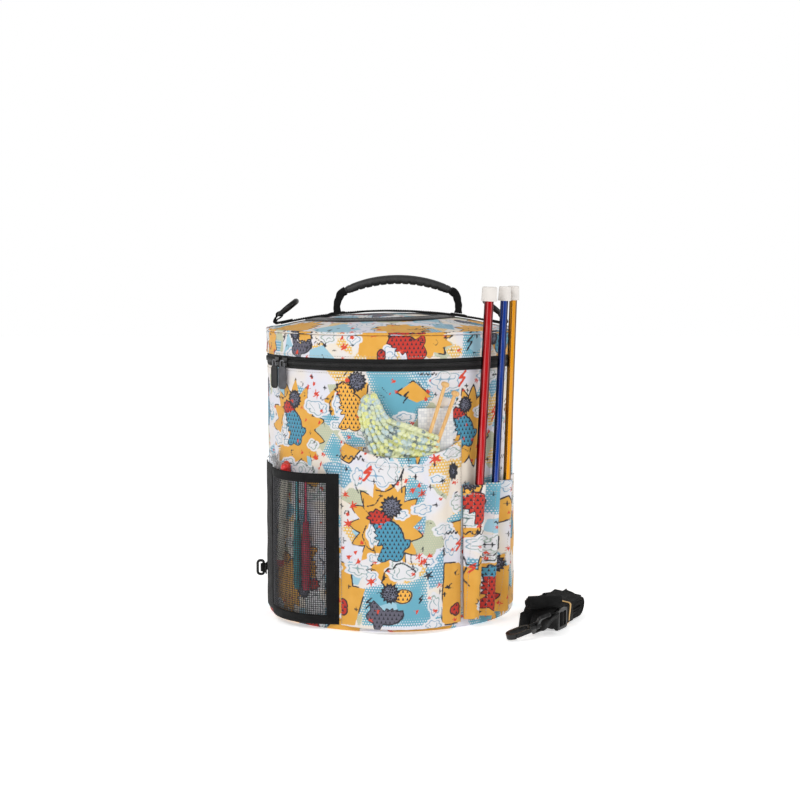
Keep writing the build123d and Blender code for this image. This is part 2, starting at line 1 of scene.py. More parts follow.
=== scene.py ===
import math

import bpy
import numpy as np
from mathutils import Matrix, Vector


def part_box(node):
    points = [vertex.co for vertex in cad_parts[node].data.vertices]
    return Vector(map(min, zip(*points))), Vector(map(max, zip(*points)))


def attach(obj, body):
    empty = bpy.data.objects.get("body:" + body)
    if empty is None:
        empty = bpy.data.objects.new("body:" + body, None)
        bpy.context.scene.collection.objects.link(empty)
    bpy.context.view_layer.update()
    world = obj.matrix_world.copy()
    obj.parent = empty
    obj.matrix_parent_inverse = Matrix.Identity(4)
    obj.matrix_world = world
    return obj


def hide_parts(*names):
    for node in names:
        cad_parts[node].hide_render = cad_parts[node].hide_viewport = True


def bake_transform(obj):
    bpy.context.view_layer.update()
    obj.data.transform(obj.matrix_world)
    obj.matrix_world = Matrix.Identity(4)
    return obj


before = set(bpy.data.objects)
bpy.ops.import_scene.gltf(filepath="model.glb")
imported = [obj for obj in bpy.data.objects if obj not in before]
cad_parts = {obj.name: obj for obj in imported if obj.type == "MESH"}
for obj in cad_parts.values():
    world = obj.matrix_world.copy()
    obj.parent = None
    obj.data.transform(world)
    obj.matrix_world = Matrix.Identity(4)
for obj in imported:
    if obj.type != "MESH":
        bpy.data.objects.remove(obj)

# Lengths are millimetres in the part's frame until a mesh is made. Azimuths are degrees round the bag
# from its front (-Y), positive towards +X.
MM = 0.001
TAU = 2 * math.pi
UP = np.array((0.0, 0.0, 1.0))
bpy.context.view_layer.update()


# ---------------------------------------------------------------- places taken from the frame


def corners(node):
    """Lowest and highest corner of a CAD node."""
    low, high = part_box(node)
    return np.array(low) / MM, np.array(high) / MM


BAG_R = corners("body_wall")[1][0]
SEAM_Z = corners("body_wall")[0][2]
WALL_TOP = corners("body_wall")[1][2]
LID_BOTTOM = corners("lid_side")[0][2]
LID_R = corners("lid_side")[1][0]
CROWN_TOP = corners("lid_crown")[1][2]
DOME_RISE = 18.0
DOME_R = (LID_R**2 + DOME_RISE**2) / (2 * DOME_RISE)
ZIP_Z = (corners("zip_teeth_lower")[1][2] + corners("zip_teeth_upper")[0][2]) / 2
POCKET_BACK = BAG_R + 0.2
FABRIC = 1.2
WALL_DEPTH = 3.0  # quilted wall, cloth to lining
CROWN_SEAM = 136.0  # radius where the crown meets its piping
FRONT_POCKET = (-22.0, 33.0)
FRONT_BULGE = 15.0
MESH_POCKET = (-68.0, -24.0)
MESH_BULGE = 14.0
NEEDLE_POCKET = (33.6, 80.0)
NEEDLE_POCKET_TOP = corners("needle_pocket")[1][2]
NEEDLES = {"red": (96.0, 2.7, 5.0), "blue": (114.0, 2.6, 4.25), "gold": (128.0, 1.6, 4.25)}  # X, lean, radius
HANK_DIRECTION = np.array((0.5, 0.866, 0.0))
HANK_ACROSS = np.array((0.866, -0.5, 0.0))
HANK_CENTRE = np.array((182.64, -87.75, 13.8))
HANK_LEAN = math.radians(6.0)  # its left side rides a little high
FRONT_HOOK, REAR_HOOK = (156.0, -162.0, 13.6), (181.0, -36.0, 13.6)
GRIP_ENDS, LEG_FEET = (-53.0, 70.0), (-61.0, 77.0)  # X of the handle's ends and of its legs on the lid
RING_BAR = np.array((126.1, 0.0, 333.8))  # bar of the right lid ring; the left one mirrors it
LOW_RING_Z = 43.0
FLOOR_Z = -0.2
PERIOD = math.pi * BAG_R  # the print repeats twice round the drum


def on_wall(radius, azimuth, z=0.0):
    """Points at a radius, azimuth and height."""
    turn = np.radians(azimuth)
    return np.stack(np.broadcast_arrays(radius * np.sin(turn), -radius * np.cos(turn), z), -1)


def turns(count):
    """Azimuths all round the bag."""
    return np.linspace(-180, 180, count, endpoint=False)


def on_disc(radius, azimuth):
    """X and Y at a radius and azimuth."""
    return radius * np.sin(np.radians(azimuth)), -radius * np.cos(np.radians(azimuth))


def dome(x, y):
    """Height of the crown's outer face."""
    return CROWN_TOP - DOME_R + np.sqrt(DOME_R**2 - x**2 - y**2)


def lens(span, bulge):
    """Centre and radius of the circle that a pocket bulging off the wall follows."""
    half = math.radians((span[1] - span[0]) / 2)
    rise = POCKET_BACK * (1 - math.cos(half)) + bulge
    radius = ((POCKET_BACK * math.sin(half)) ** 2 + rise**2) / (2 * rise)
    return on_wall(POCKET_BACK * math.cos(half) + rise - radius, sum(span) / 2)[:2], radius


def lens_azimuth(span, bulge, azimuth, grow=0.0):
    """Distance from the bag's axis of a pocket's face at some azimuths."""
    centre, radius = lens(span, bulge)
    out = on_wall(1.0, azimuth)[..., :2]
    along = out @ centre
    return along + np.sqrt(along**2 - centre @ centre + (radius + grow) ** 2)


def ripple(u, v, length, seed, period=None):
    """Smooth uneven swelling from -1 to 1 with waves about that long."""
    rng = np.random.default_rng(seed)
    total = np.zeros(np.broadcast(u, v).shape)
    for _ in range(7):
        turn = rng.uniform(0, TAU)
        size = length * rng.uniform(0.7, 1.5)
        ku = math.cos(turn) / size
        if period:
            ku = round(ku * period) / period
        total += np.sin(TAU * (u * ku + v * math.sin(turn) / size) + rng.uniform(0, TAU))
    return total / 3.5


# ---------------------------------------------------------------- mesh making


def grid_faces(rows, columns, wrap_rows=False, wrap_columns=False):
    """Quads of a grid of points, rows first."""
    r = np.arange(rows if wrap_rows else rows - 1)
    c = np.arange(columns if wrap_columns else columns - 1)
    r, c = (x.ravel() for x in np.meshgrid(r, c, indexing="ij"))
    r2, c2 = (r + 1) % rows, (c + 1) % columns
    return np.stack([r * columns + c, r * columns + c2, r2 * columns + c2, r2 * columns + c], 1)


def closed_faces(rows, columns):
    """Quads of a grid that wraps both ways, as a list."""
    return grid_faces(rows, columns, True, True).tolist()


def add_piece(name, points, faces, material, body, slot=None, nodes=()):
    """Makes a smooth mesh piece that rides on a body and may stand for CAD nodes."""
    data = bpy.data.meshes.new(name)
    data.from_pydata((np.asarray(points, float).reshape(-1, 3) * MM).tolist(), [], faces)
    data.materials.append(material)
    data.shade_smooth()
    piece = bpy.data.objects.new(name, data)
    bpy.context.scene.collection.objects.link(piece)
    if body:
        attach(piece, body)
    if nodes:
        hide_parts(*nodes)
    return piece


def lay_cloth(piece, u, v, period=None):
    """Stores each face corner's place on the flat cloth, in millimetres."""
    data = piece.data
    corner = np.empty(len(data.loops), int)
    data.loops.foreach_get("vertex_index", corner)
    cu, cv = u.ravel()[corner], v.ravel()[corner]
    if period:
        starts = np.empty(len(data.polygons), int)
        data.polygons.foreach_get("loop_start", starts)
        sizes = np.diff(np.append(starts, len(corner)))
        highest = np.repeat(np.maximum.reduceat(cu, starts), sizes)
        cu = cu + period * (highest - cu > period / 2)
    stored = data.attributes.new("cloth", "FLOAT_VECTOR", "CORNER")
    stored.data.foreach_set("vector", np.stack([cu, cv, 0 * cu], 1).astype(np.float32).ravel())


def loft(sections, closed=False, caps=True):
    """Points and faces of a skin over equal rings of points."""
    sections = np.asarray(sections, float)
    rows, columns = sections.shape[:2]
    faces = grid_faces(rows, columns, closed, True).tolist()
    if caps and not closed:
        faces.append(list(range(columns))[::-1])
        faces.append([(rows - 1) * columns + k for k in range(columns)])
    return sections.reshape(-1, 3), faces


def join(parts):
    """One set of points and faces from several."""
    points, faces, base = [], [], 0
    for some_points, some_faces in parts:
        points.append(some_points)
        faces += [[index + base for index in face] for face in some_faces]
        base += len(some_points)
    return np.concatenate(points), faces


def unit(vectors):
    """Vectors of length one."""
    return vectors / np.linalg.norm(vectors, axis=-1, keepdims=True)


def directions(path, closed):
    """Which way a path runs at each point."""
    if closed:
        return unit(np.roll(path, -1, 0) - np.roll(path, 1, 0))
    return unit(np.gradient(path, axis=0))


def tube(path, radius, sides=6, ref=UP, closed=False):
    """A round strand along a path. ref is any direction that the path never follows."""
    path = np.asarray(path, float)
    along = directions(path, closed)
    side = unit(np.cross(along, ref))
    up = np.cross(side, along)
    turn = -np.arange(sides) * TAU / sides
    r = np.broadcast_to(radius, len(path))[:, None, None]
    ring = np.cos(turn)[:, None] * side[:, None] + np.sin(turn)[:, None] * up[:, None]
    return loft(path[:, None] + r * ring, closed)


def ribbon(path, across, width, thick, closed=False):
    """A flat band with soft edges along a path; across points over its width, which may vary."""
    path = np.asarray(path, float)
    along = directions(path, closed)
    across = unit(np.broadcast_to(np.asarray(across, float), path.shape))
    out = unit(np.cross(along, across))
    b = thick / 2
    half = np.broadcast_to(np.asarray(width, float) / 2, len(path))[:, None]
    share, inset = np.array((1, 1, 1, 1 / 3, -1 / 3, -1)), np.array((0, 0, -b / 2, 0, 0, b / 2))
    height = np.array((-b / 2, b / 2, b, b, b, b))
    wide = half * share + inset
    wide = np.concatenate([wide, -wide], 1)[..., None]
    height = np.concatenate([height, -height])[:, None]
    return loft(path[:, None] + wide * across[:, None] + height * out[:, None], closed)


def plate(front, back, keep=None):
    """A sheet between two grids of points, without the cells that keep leaves out."""
    rows, columns = front.shape[:2]
    if keep is None:
        keep = np.ones((rows - 1, columns - 1), bool)
    far = rows * columns
    index = np.arange(far).reshape(rows, columns)
    a, b, c, d = index[:-1, :-1], index[:-1, 1:], index[1:, 1:], index[1:, :-1]
    quads = [np.stack([x[keep] for x in (a, b, c, d)], 1)]
    quads.append(quads[0][:, ::-1] + far)
    framed = np.pad(keep, 1)
    for edge, step in (((b, a), (0, 1)), ((c, b), (1, 2)), ((d, c), (2, 1)), ((a, d), (1, 0))):
        beyond = framed[step[0] : step[0] + rows - 1, step[1] : step[1] + columns - 1]
        rim = keep & ~beyond
        start, end = edge[0][rim], edge[1][rim]
        quads.append(np.stack([start, end, end + far, start + far], 1))
    used, quads = np.unique(np.concatenate(quads), return_inverse=True)
    points = np.concatenate([front.reshape(-1, 3), back.reshape(-1, 3)])[used]
    return points, quads.reshape(-1, 4).tolist(), used % far


def resample(path, pitch):
    """Evenly spaced points along a path, about a pitch apart."""
    path = np.asarray(path, float)
    run = np.append(0, np.cumsum(np.linalg.norm(np.diff(path, axis=0), axis=1)))
    spots = np.linspace(0, run[-1], max(2, int(round(run[-1] / pitch)) + 1))
    return np.stack([np.interp(spots, run, path[:, k]) for k in range(3)], 1)


def stitches(path, pitch=3.0, length=2.1, radius=0.22):
    """Thread stitches lying along a path."""
    path = resample(path, pitch)
    along = unit(np.gradient(path, axis=0))
    parts = []
    for centre, way in zip(path, along):
        ref = UP if abs(way[2]) < 0.8 else np.array((1.0, 0.3, 0.0))
        steps = np.array((-0.5, -0.36, 0.36, 0.5))[:, None] * length
        parts.append(tube(centre + steps * way, np.array((0.3, 1, 1, 0.3)) * radius, 5, ref))
    return join(parts)


def smooth_path(points, pitch=1.5):
    """Points along a soft curve drawn with a few."""
    curve = bpy.data.curves.new("guide", "CURVE")
    curve.dimensions = "3D"
    curve.resolution_u = 12
    line = curve.splines.new("NURBS")
    line.points.add(len(points) - 1)
    for spot, place in zip(line.points, points):
        spot.co = (*place, 1.0)
    line.order_u = 3
    line.use_endpoint_u = True
    holder = bpy.data.objects.new("guide", curve)
    data = bpy.data.meshes.new_from_object(holder)
    found = np.array([tuple(v.co) for v in data.vertices])
    bpy.data.objects.remove(holder)
    bpy.data.meshes.remove(data)
    bpy.data.curves.remove(curve)
    return resample(found, pitch)


def arc(centre, radius, start, end, count=14):
    """Points of an arc in the XZ plane, degrees from +X towards +Z."""
    turn = np.radians(np.linspace(start, end, count))
    return np.stack([centre[0] + radius * np.cos(turn), 0 * turn + centre[1], centre[2] + radius * np.sin(turn)], 1)


def outline_ring(half_width, half_height, corner, count=40):
    """Rounded rectangle, anticlockwise, in its own plane."""
    turn = np.arange(count) * TAU / count + TAU / count / 2
    c, s = np.cos(turn), np.sin(turn)
    across, up = half_width - corner, half_height - corner
    return np.stack([np.sign(c) * across + corner * c, np.sign(s) * up + corner * s], 1)


def sew(name, lines, material, body, slot, **sizes):
    """One piece for all stitching of one thread on one body."""
    points, faces = join([stitches(line, **sizes) for line in lines])
    add_piece(name, points, faces, material, body, slot)

# ---------------------------------------------------------------- materials


def rgb(red, green, blue):
    """Linear colour of a screen colour."""
    return (*(((c / 255 + 0.055) / 1.055) ** 2.4 for c in (red, green, blue)), 1.0)


def shaded(colour, scale, lift=0.0):
    """A colour made darker or lighter."""
    return (*(min(1.0, c * scale + lift) for c in colour[:3]), 1.0)


class Paint:
    """A Principled material, with short names for the nodes that feed it."""

    def __init__(self, name, **constants):
        self.material = bpy.data.materials.new(name)
        self.material.use_nodes = True
        self.tree = self.material.node_tree
        self.shader = self.tree.nodes["Principled BSDF"]
        for socket, value in constants.items():
            self.shader.inputs[socket.replace("_", " ")].default_value = value

    def node(self, kind, *values, out=0, **settings):
        made = self.tree.nodes.new("ShaderNode" + kind)
        for key, value in settings.items():
            setattr(made, key, value)
        for value, socket in zip(values, made.inputs):
            self.feed(value, socket)
        return made.outputs[out]

    def feed(self, value, socket):
        if isinstance(value, bpy.types.NodeSocket):
            self.tree.links.new(value, socket)
        elif value is not None:
            socket.default_value = value

    def math(self, operation, *values):
        return self.node("Math", *values, operation=operation)

    def mix(self, factor, first, second):
        made = self.tree.nodes.new("ShaderNodeMix")
        made.data_type = "RGBA"
        for value, socket in ((factor, 0), (first, 6), (second, 7)):
            self.feed(value, made.inputs[socket])
        return made.outputs[2]

    def plus(self, first, second):
        return self.math("ADD", first, second)

    def minus(self, first, second):
        return self.math("SUBTRACT", first, second)

    def times(self, *values):
        """Product of values or masks."""
        result = values[0]
        for value in values[1:]:
            result = self.math("MULTIPLY", result, value)
        return result

    def ramp(self, value, low, high, start=0.0, end=1.0):
        """Straight change from start at low to end at high."""
        return self.node("MapRange", value, low, high, start, end)

    def parts(self, vector, count=3):
        """X, Y and Z of a vector."""
        return [self.node("SeparateXYZ", vector, out=k) for k in range(count)]

    def stretched(self, vector, scale):
        return self.node("VectorMath", vector, scale, operation="MULTIPLY")

    def stored(self, name, out=2):
        """A value stored on the mesh."""
        return self.node("Attribute", out=out, attribute_name=name)

    def inside(self, field, edge=0.0, soft=0.3):
        """1 where a field is below an edge, 0 above it."""
        return self.ramp(field, edge - soft, edge + soft, 1.0, 0.0)

    def line(self, field, at, half, soft=0.25):
        """1 on a thin line where a field is near a value."""
        return self.inside(self.math("ABSOLUTE", self.minus(field, at)), half, soft)

    def noise(self, place, scale, detail=3.0):
        return self.node("TexNoise", place, None, scale, detail)

    def place(self):
        """Place on the piece itself, in millimetres."""
        return self.stretched(self.node("TexCoord", out=3), (1 / MM,) * 3)

    def relief(self, height, depth):
        """Bump of that depth in millimetres."""
        made = self.tree.nodes.new("ShaderNodeBump")
        made.inputs["Distance"].default_value = depth * MM
        self.feed(height, made.inputs["Height"])
        self.feed(made.outputs[0], self.shader.inputs["Normal"])

    def finish(self, colour, roughness=None, height=None, depth=0.1):
        self.feed(colour, self.shader.inputs["Base Color"])
        self.feed(roughness, self.shader.inputs["Roughness"])
        if height is not None:
            self.relief(height, depth)
        return self.material


INK = rgb(38, 38, 46)
HUES = {"red": 0.0, "teal": 1.0, "amber": 2.0, "slate": 3.0}
LAYERS = ("sand", "lattice", "halftone", "teal", "sky", "ochre", "cloud", "scaly", "spiky", "red", "ink")


def printed_cloth():
    """Polyester canvas with the comic print: each layer is inked where its field is negative."""
    p = Paint("printed_canvas", Sheen_Weight=0.06, Specular_IOR_Level=0.3)
    cloth = p.stored("cloth", out=1)
    u, v = p.parts(cloth, 2)
    shake = p.times(p.minus(p.noise(cloth, 0.28), 0.5), 1.6)
    field = {n: p.plus(p.stored(n), shake) for n in LAYERS}
    broad = p.noise(cloth, 0.018, 2.0)

    def staggered(width, height):
        """Place in a cell of staggered rows: across from its middle, and up from its foot."""
        row = p.math("DIVIDE", v, height)
        shift = p.times(p.math("MODULO", p.math("FLOOR", row), 2.0), 0.5)
        across = p.minus(p.math("FRACT", p.plus(p.math("DIVIDE", u, width), shift)), 0.5)
        return across, p.math("FRACT", row)

    def dots(pitch, radius, swell=0.0):
        """Round dots in staggered rows; swell is a mask that adds to their size."""
        a, b = staggered(pitch, pitch)
        b = p.minus(b, 0.5)
        far = p.math("SQRT", p.plus(p.times(a, a), p.times(b, b)))
        return p.inside(p.minus(far, swell), radius, 0.08)

    warm = p.ramp(broad, 0.42, 0.58)
    colour = p.mix(warm, rgb(214, 213, 222), rgb(224, 214, 200))
    white = colour
    sand = p.mix(dots(2.4, 0.2), rgb(178, 184, 158), rgb(204, 196, 170))
    colour = p.mix(p.inside(field["sand"]), colour, sand)
    lattice = p.mix(dots(3.2, 0.3), rgb(220, 178, 88), white)
    colour = p.mix(p.inside(field["lattice"], 0.0, 0.8), colour, lattice)
    net = p.mix(dots(3.0, 0.27), rgb(100, 156, 180), rgb(204, 214, 222))
    colour = p.mix(p.inside(field["halftone"], 0.0, 0.8), colour, net)
    teal = p.mix(broad, rgb(88, 152, 174), rgb(108, 172, 190))
    teal = p.mix(dots(2.7, -0.1, p.ramp(field["teal"], -13.0, 0.0, 0.0, 0.5)), teal, white)
    colour = p.mix(p.inside(field["teal"]), colour, teal)
    colour = p.mix(p.inside(field["sky"]), colour, rgb(150, 190, 206))
    amber = p.mix(p.noise(cloth, 0.05), rgb(208, 148, 46), rgb(222, 168, 76))
    colour = p.mix(p.inside(field["ochre"]), colour, amber)
    drawn = p.inside(p.noise(cloth, 0.045, 1.0), 0.5, 0.02)
    colour = p.mix(p.times(p.line(field["ochre"], 0.5, 0.75), drawn), colour, INK)
    colour = p.mix(p.inside(field["cloud"]), colour, rgb(216, 215, 218))
    curl = p.line(p.noise(cloth, 0.1, 0.0), 0.5, 0.022, 0.012)
    pale_ink = p.mix(warm, rgb(120, 158, 186), rgb(140, 160, 146))
    curl = p.math("MAXIMUM", p.times(curl, p.inside(field["cloud"], -4.0)), p.line(field["cloud"], -2.2, 0.4))
    colour = p.mix(curl, colour, pale_ink)

    hue = p.stored("hue")
    body = rgb(186, 48, 36)
    for name, tint in (("teal", rgb(72, 142, 170)), ("amber", rgb(232, 170, 70)), ("slate", rgb(92, 90, 104))):
        body = p.mix(p.inside(hue, HUES[name] - 0.5, 0.05), tint, body)
    a, b = staggered(4.6, 4.2)
    tick = p.inside(p.plus(p.math("ABSOLUTE", a), p.times(b, 0.34)), 0.27, 0.05)
    body = p.mix(p.times(tick, p.inside(field["scaly"], -1.4)), body, INK)
    body = p.mix(p.line(field["scaly"], -0.5, 0.6), body, INK)
    colour = p.mix(p.inside(field["scaly"], 0.1), colour, body)

    quills = p.node("TexVoronoi", cloth, None, 0.42, feature="DISTANCE_TO_EDGE")
    dark = p.mix(p.inside(quills, 0.09, 0.04), INK, rgb(112, 114, 132))
    dark = p.mix(p.inside(field["spiky"], -2.0), INK, dark)
    colour = p.mix(p.inside(field["spiky"], 0.1), colour, dark)
    colour = p.mix(p.inside(field["red"], 0.0, 0.25), colour, rgb(206, 66, 44))
    colour = p.mix(p.inside(field["ink"], 0.0, 0.25), colour, INK)

    weave = p.times(p.math("SINE", p.times(u, TAU / 0.9)), p.math("SINE", p.times(v, TAU / 0.9)))
    worn = p.ramp(p.noise(cloth, 0.6, 4.0), 0.3, 0.7, 0.5, 0.68)
    return p.finish(colour, worn, weave, 0.05)


def woven(name, colour, pitch=0.7, depth=0.12, ribs=False, roughness=(0.65, 0.85), sheen=0.3, tone=0.35, shine=0.3):
    """Plain woven cloth, or ribbed webbing, with painted shade in the weave's hollows and painted highlight on its
    crests; tone sets how strong they are.
    """
    p = Paint(name, Sheen_Weight=sheen, Specular_IOR_Level=shine)
    place = p.place()
    x, y, z = p.parts(place)
    flat = p.plus(x, p.times(y, 0.83))
    wave = [p.math("SINE", p.times(way, TAU / pitch)) for way in (flat, z)]
    if ribs:
        weave = p.math("SINE", p.times(p.plus(flat, z), TAU / pitch))
        weave = p.plus(weave, p.times(wave[1], 0.5))
    else:
        weave = p.times(*wave)
    patchy = p.noise(place, 0.09, 3.0)
    # painted shade and highlight: a darker copy of the colour in the weave's hollows, a lighter copy on its crests
    hollow_shade, crest_highlight = shaded(colour, 1 - tone), shaded(colour, 1 + tone, 0.006)
    shade = p.mix(p.ramp(weave, -1.0, 1.0, 0.25, 0.75), hollow_shade, crest_highlight)
    shade = p.mix(p.ramp(patchy, 0.35, 0.65, 0.0, 0.5), shade, colour)
    rough = p.ramp(patchy, 0.3, 0.7, *roughness)
    return p.finish(shade, rough, weave, depth)


def moulded(name, colour, roughness=(0.35, 0.5), grain=1.6, depth=0.04, **constants):
    """Moulded plastic or rubber with a fine grain and handling wear."""
    p = Paint(name, **constants)
    place = p.place()
    wear = p.noise(place, 0.12, 4.0)
    fine = p.noise(place, grain, 2.0)
    shade = p.mix(p.ramp(wear, 0.45, 0.7), colour, shaded(colour, 1.25, 0.012))
    return p.finish(shade, p.ramp(wear, 0.3, 0.7, *roughness), fine, depth)


def anodised(name, colour, roughness=(0.16, 0.3)):
    """Drawn and dyed aluminium: fine marks along its length whose pale streaks are partly painted highlight, with
    painted shade on its flanks and two painted glint lines.
    """
    p = Paint(name, Metallic=1.0)
    place = p.place()
    drawn = p.noise(p.stretched(place, (1.6, 1.6, 0.03)), 1.0, 3.0)
    side = p.node("SeparateXYZ", p.node("TexCoord", out=1), out=0)
    # painted shade: the colour darkens on the sides whose normal points along ±X in the part's own frame
    shade = p.mix(p.ramp(p.math("ABSOLUTE", side), 0.25, 0.75), colour, shaded(colour, 0.22))
    # painted reflection: two bright glint lines at fixed facings round the part
    painted_glint = p.math("MAXIMUM", p.line(side, -0.3, 0.04, 0.14), p.line(side, 0.52, 0.02, 0.1))
    shade = p.mix(painted_glint, shade, shaded(colour, 1.1, 0.17))
    # pale streaks of the drawn marks: partly bare-metal marks, partly painted highlight streaks along the length
    shade = p.mix(p.ramp(drawn, 0.5, 0.75, 0.0, 0.12), shade, rgb(240, 236, 232))
    return p.finish(shade, p.ramp(drawn, 0.3, 0.7, *roughness), drawn, 0.01)


def fibres(name, low, high, scale=0.5, sheen=0.5):
    """Spun yarn or thread with a fine fibre grain."""
    p = Paint(name, Sheen_Weight=sheen, Roughness=0.9, Specular_IOR_Level=0.2)
    place = p.place()
    grain = p.noise(place, scale * 4, 4.0)
    shade = p.mix(p.ramp(p.noise(place, scale, 2.0), 0.35, 0.65), low, high)
    return p.finish(shade, None, grain, 0.3)


def dyed_yarn():
    """Space-dyed boucle yarn: lemon, mint and grey along its length."""
    p = Paint("dyed_boucle_yarn", Sheen_Weight=0.4, Roughness=0.92, Specular_IOR_Level=0.15)
    dye = p.stored("dye")
    place = p.place()
    shade = p.mix(p.inside(dye, 0.36, 0.06), rgb(184, 204, 206), rgb(220, 222, 142))
    shade = p.mix(p.inside(dye, 0.62, 0.05), rgb(110, 126, 136), shade)
    shade = p.mix(p.inside(dye, 0.78, 0.05), rgb(222, 226, 178), shade)
    fleck = p.ramp(p.noise(place, 0.5, 3.0), 0.48, 0.64, 0.0, 0.7)
    shade = p.mix(fleck, shade, rgb(224, 228, 202))
    return p.finish(shade, None, p.noise(place, 2.5, 4.0), 0.5)


def bamboo_wood():
    """Straight-grained bamboo, light sanded finish."""
    p = Paint("bamboo_wood", Coat_Weight=0.15, Coat_Roughness=0.3)
    place = p.place()
    grain = p.noise(p.stretched(place, (1.0, 1.0, 0.05)), 1.2, 5.0)
    shade = p.mix(p.ramp(grain, 0.3, 0.7), rgb(196, 146, 82), rgb(228, 186, 124))
    return p.finish(shade, p.ramp(grain, 0.3, 0.7, 0.4, 0.6), grain, 0.05)


def ruled_card():
    """White card with the faint squares of a stitch chart."""
    p = Paint("ruled_card", Roughness=0.65)
    place = p.place()
    pitch = 3.0
    x, _, z = p.parts(place)
    ruled = p.math("MAXIMUM", *(p.inside(p.math("PINGPONG", way, pitch / 2), 0.14, 0.1) for way in (x, z)))
    paper = p.mix(p.noise(place, 0.4), rgb(214, 214, 213), rgb(224, 223, 221))
    filled = p.inside(p.noise(p.node("VectorMath", place, (pitch,) * 3, operation="SNAP"), 0.35, 0.0), 0.44, 0.02)
    paper = p.mix(p.times(filled, 0.35), paper, rgb(160, 164, 174))
    return p.finish(p.mix(ruled, paper, rgb(184, 186, 192)), None, p.noise(place, 2.0), 0.02)


def cap_plastic():
    """Milky see-through plastic of the needle caps."""
    p = Paint("milky_cap_plastic", Coat_Weight=0.3, Coat_Roughness=0.15)
    place = p.place()
    cloudy = p.noise(place, 0.07, 2.0)
    shade = p.mix(cloudy, rgb(206, 200, 194), rgb(222, 217, 212))
    return p.finish(shade, p.ramp(cloudy, 0.3, 0.7, 0.16, 0.28), p.noise(place, 1.2, 2.0), 0.004)


PRINT = printed_cloth()
BLACK_CLOTH = woven("black_canvas", rgb(17, 16, 18), 0.8, sheen=0.03, shine=0.2)
LINING = woven("grey_lining", rgb(106, 106, 112), 0.6, 0.05, roughness=(0.45, 0.6), tone=0.12)
WEBBING = woven("black_webbing", rgb(9, 9, 9), 1.5, 0.12, ribs=True, sheen=0.02, shine=0.16)
BINDING = woven("black_binding_tape", rgb(13, 13, 14), 1.1, 0.2, ribs=True, sheen=0.02, shine=0.18)
SATIN = woven("satin_binding", rgb(52, 50, 50), 0.5, 0.03, roughness=(0.32, 0.45), sheen=0.05, tone=0.15)
ZIP_TAPE = woven("zip_tape_weave", rgb(20, 21, 21), 0.9, 0.15, sheen=0.03)
THREAD = fibres("black_thread", rgb(14, 14, 15), rgb(34, 34, 36), sheen=0.1)
PALE_THREAD = fibres("ecru_thread", rgb(150, 146, 138), rgb(196, 190, 180), sheen=0.2)
NET = fibres("net_thread", rgb(24, 24, 26), rgb(66, 66, 70), sheen=0.15)
PLASTIC = moulded("black_acetal", rgb(8, 8, 8), (0.3, 0.46), Specular_IOR_Level=0.3)
RUBBER = moulded("black_grip_rubber", rgb(33, 33, 33), (0.45, 0.6), 2.2, 0.08)
PULL_RUBBER = moulded("black_pull_rubber", rgb(12, 12, 13), (0.4, 0.55))
GREY_RUBBER = moulded("grey_pull_rubber", rgb(66, 66, 70), (0.45, 0.6))
TEETH = moulded("zip_coil_nylon", rgb(20, 20, 21), (0.3, 0.42))
ZIP_METAL = moulded("burnished_zinc", rgb(120, 120, 124), (0.28, 0.42), Metallic=1.0)
SLIDER = moulded("black_enamel", rgb(14, 14, 15), (0.25, 0.4))
BOARD = moulded("stiffener_board", rgb(160, 152, 140), (0.8, 0.9))
CARD = ruled_card()
CREAM = moulded("cream_plastic", rgb(232, 226, 206), (0.25, 0.35))
RED_PLASTIC = moulded("red_plastic", rgb(196, 30, 28), (0.2, 0.3))
TEAL_GRIP = moulded("teal_soft_grip", rgb(14, 124, 130), (0.4, 0.55))
CRIMSON_GRIP = moulded("crimson_soft_grip", rgb(176, 26, 62), (0.4, 0.55))
TAN_RUBBER = moulded("tan_rubber", rgb(206, 166, 104), (0.45, 0.6))
RED_METAL = anodised("red_anodised", rgb(176, 16, 24))
BLUE_METAL = anodised("blue_anodised", rgb(22, 58, 140))
GOLD_METAL = anodised("gold_anodised", rgb(222, 148, 20))
TEAL_METAL = anodised("teal_anodised", rgb(60, 160, 168))
CRIMSON_METAL = anodised("crimson_anodised", rgb(206, 60, 96))
YARN = dyed_yarn()
GREY_YARN = fibres("grey_yarn", rgb(150, 154, 158), rgb(216, 218, 220))
BAMBOO = bamboo_wood()
CAP = cap_plastic()


# ---------------------------------------------------------------- the print's shapes
# A shape is (middle u, middle v, reach, signed distance of local x and y, hue), in millimetres on the flat cloth.


def burst(cx, cy, rx, ry, points=12, depth=0.3, turn=0.0, hue=None):
    """Explosion or quill ball with straight spikes."""

    def distance(x, y):
        angle = np.arctan2(y / ry, x / rx) + turn
        tooth = np.abs((angle * points / TAU) % 1 - 0.5) * 2
        return (np.hypot(x / rx, y / ry) - 1 + depth * tooth) * min(rx, ry) * 0.75

    return cx, cy, max(rx, ry) * 1.05 + 6, distance, hue


def puff(cx, cy, rx, ry, bumps=7, turn=0.0, hue=None):
    """Cloud with round bumps."""

    def distance(x, y):
        angle = np.arctan2(y / ry, x / rx) + turn
        bump = np.abs(np.sin(angle * bumps / 2))
        return (np.hypot(x / rx, y / ry) - 0.76 - 0.24 * bump) * min(rx, ry) * 0.9

    return cx, cy, max(rx, ry) * 1.05 + 6, distance, hue


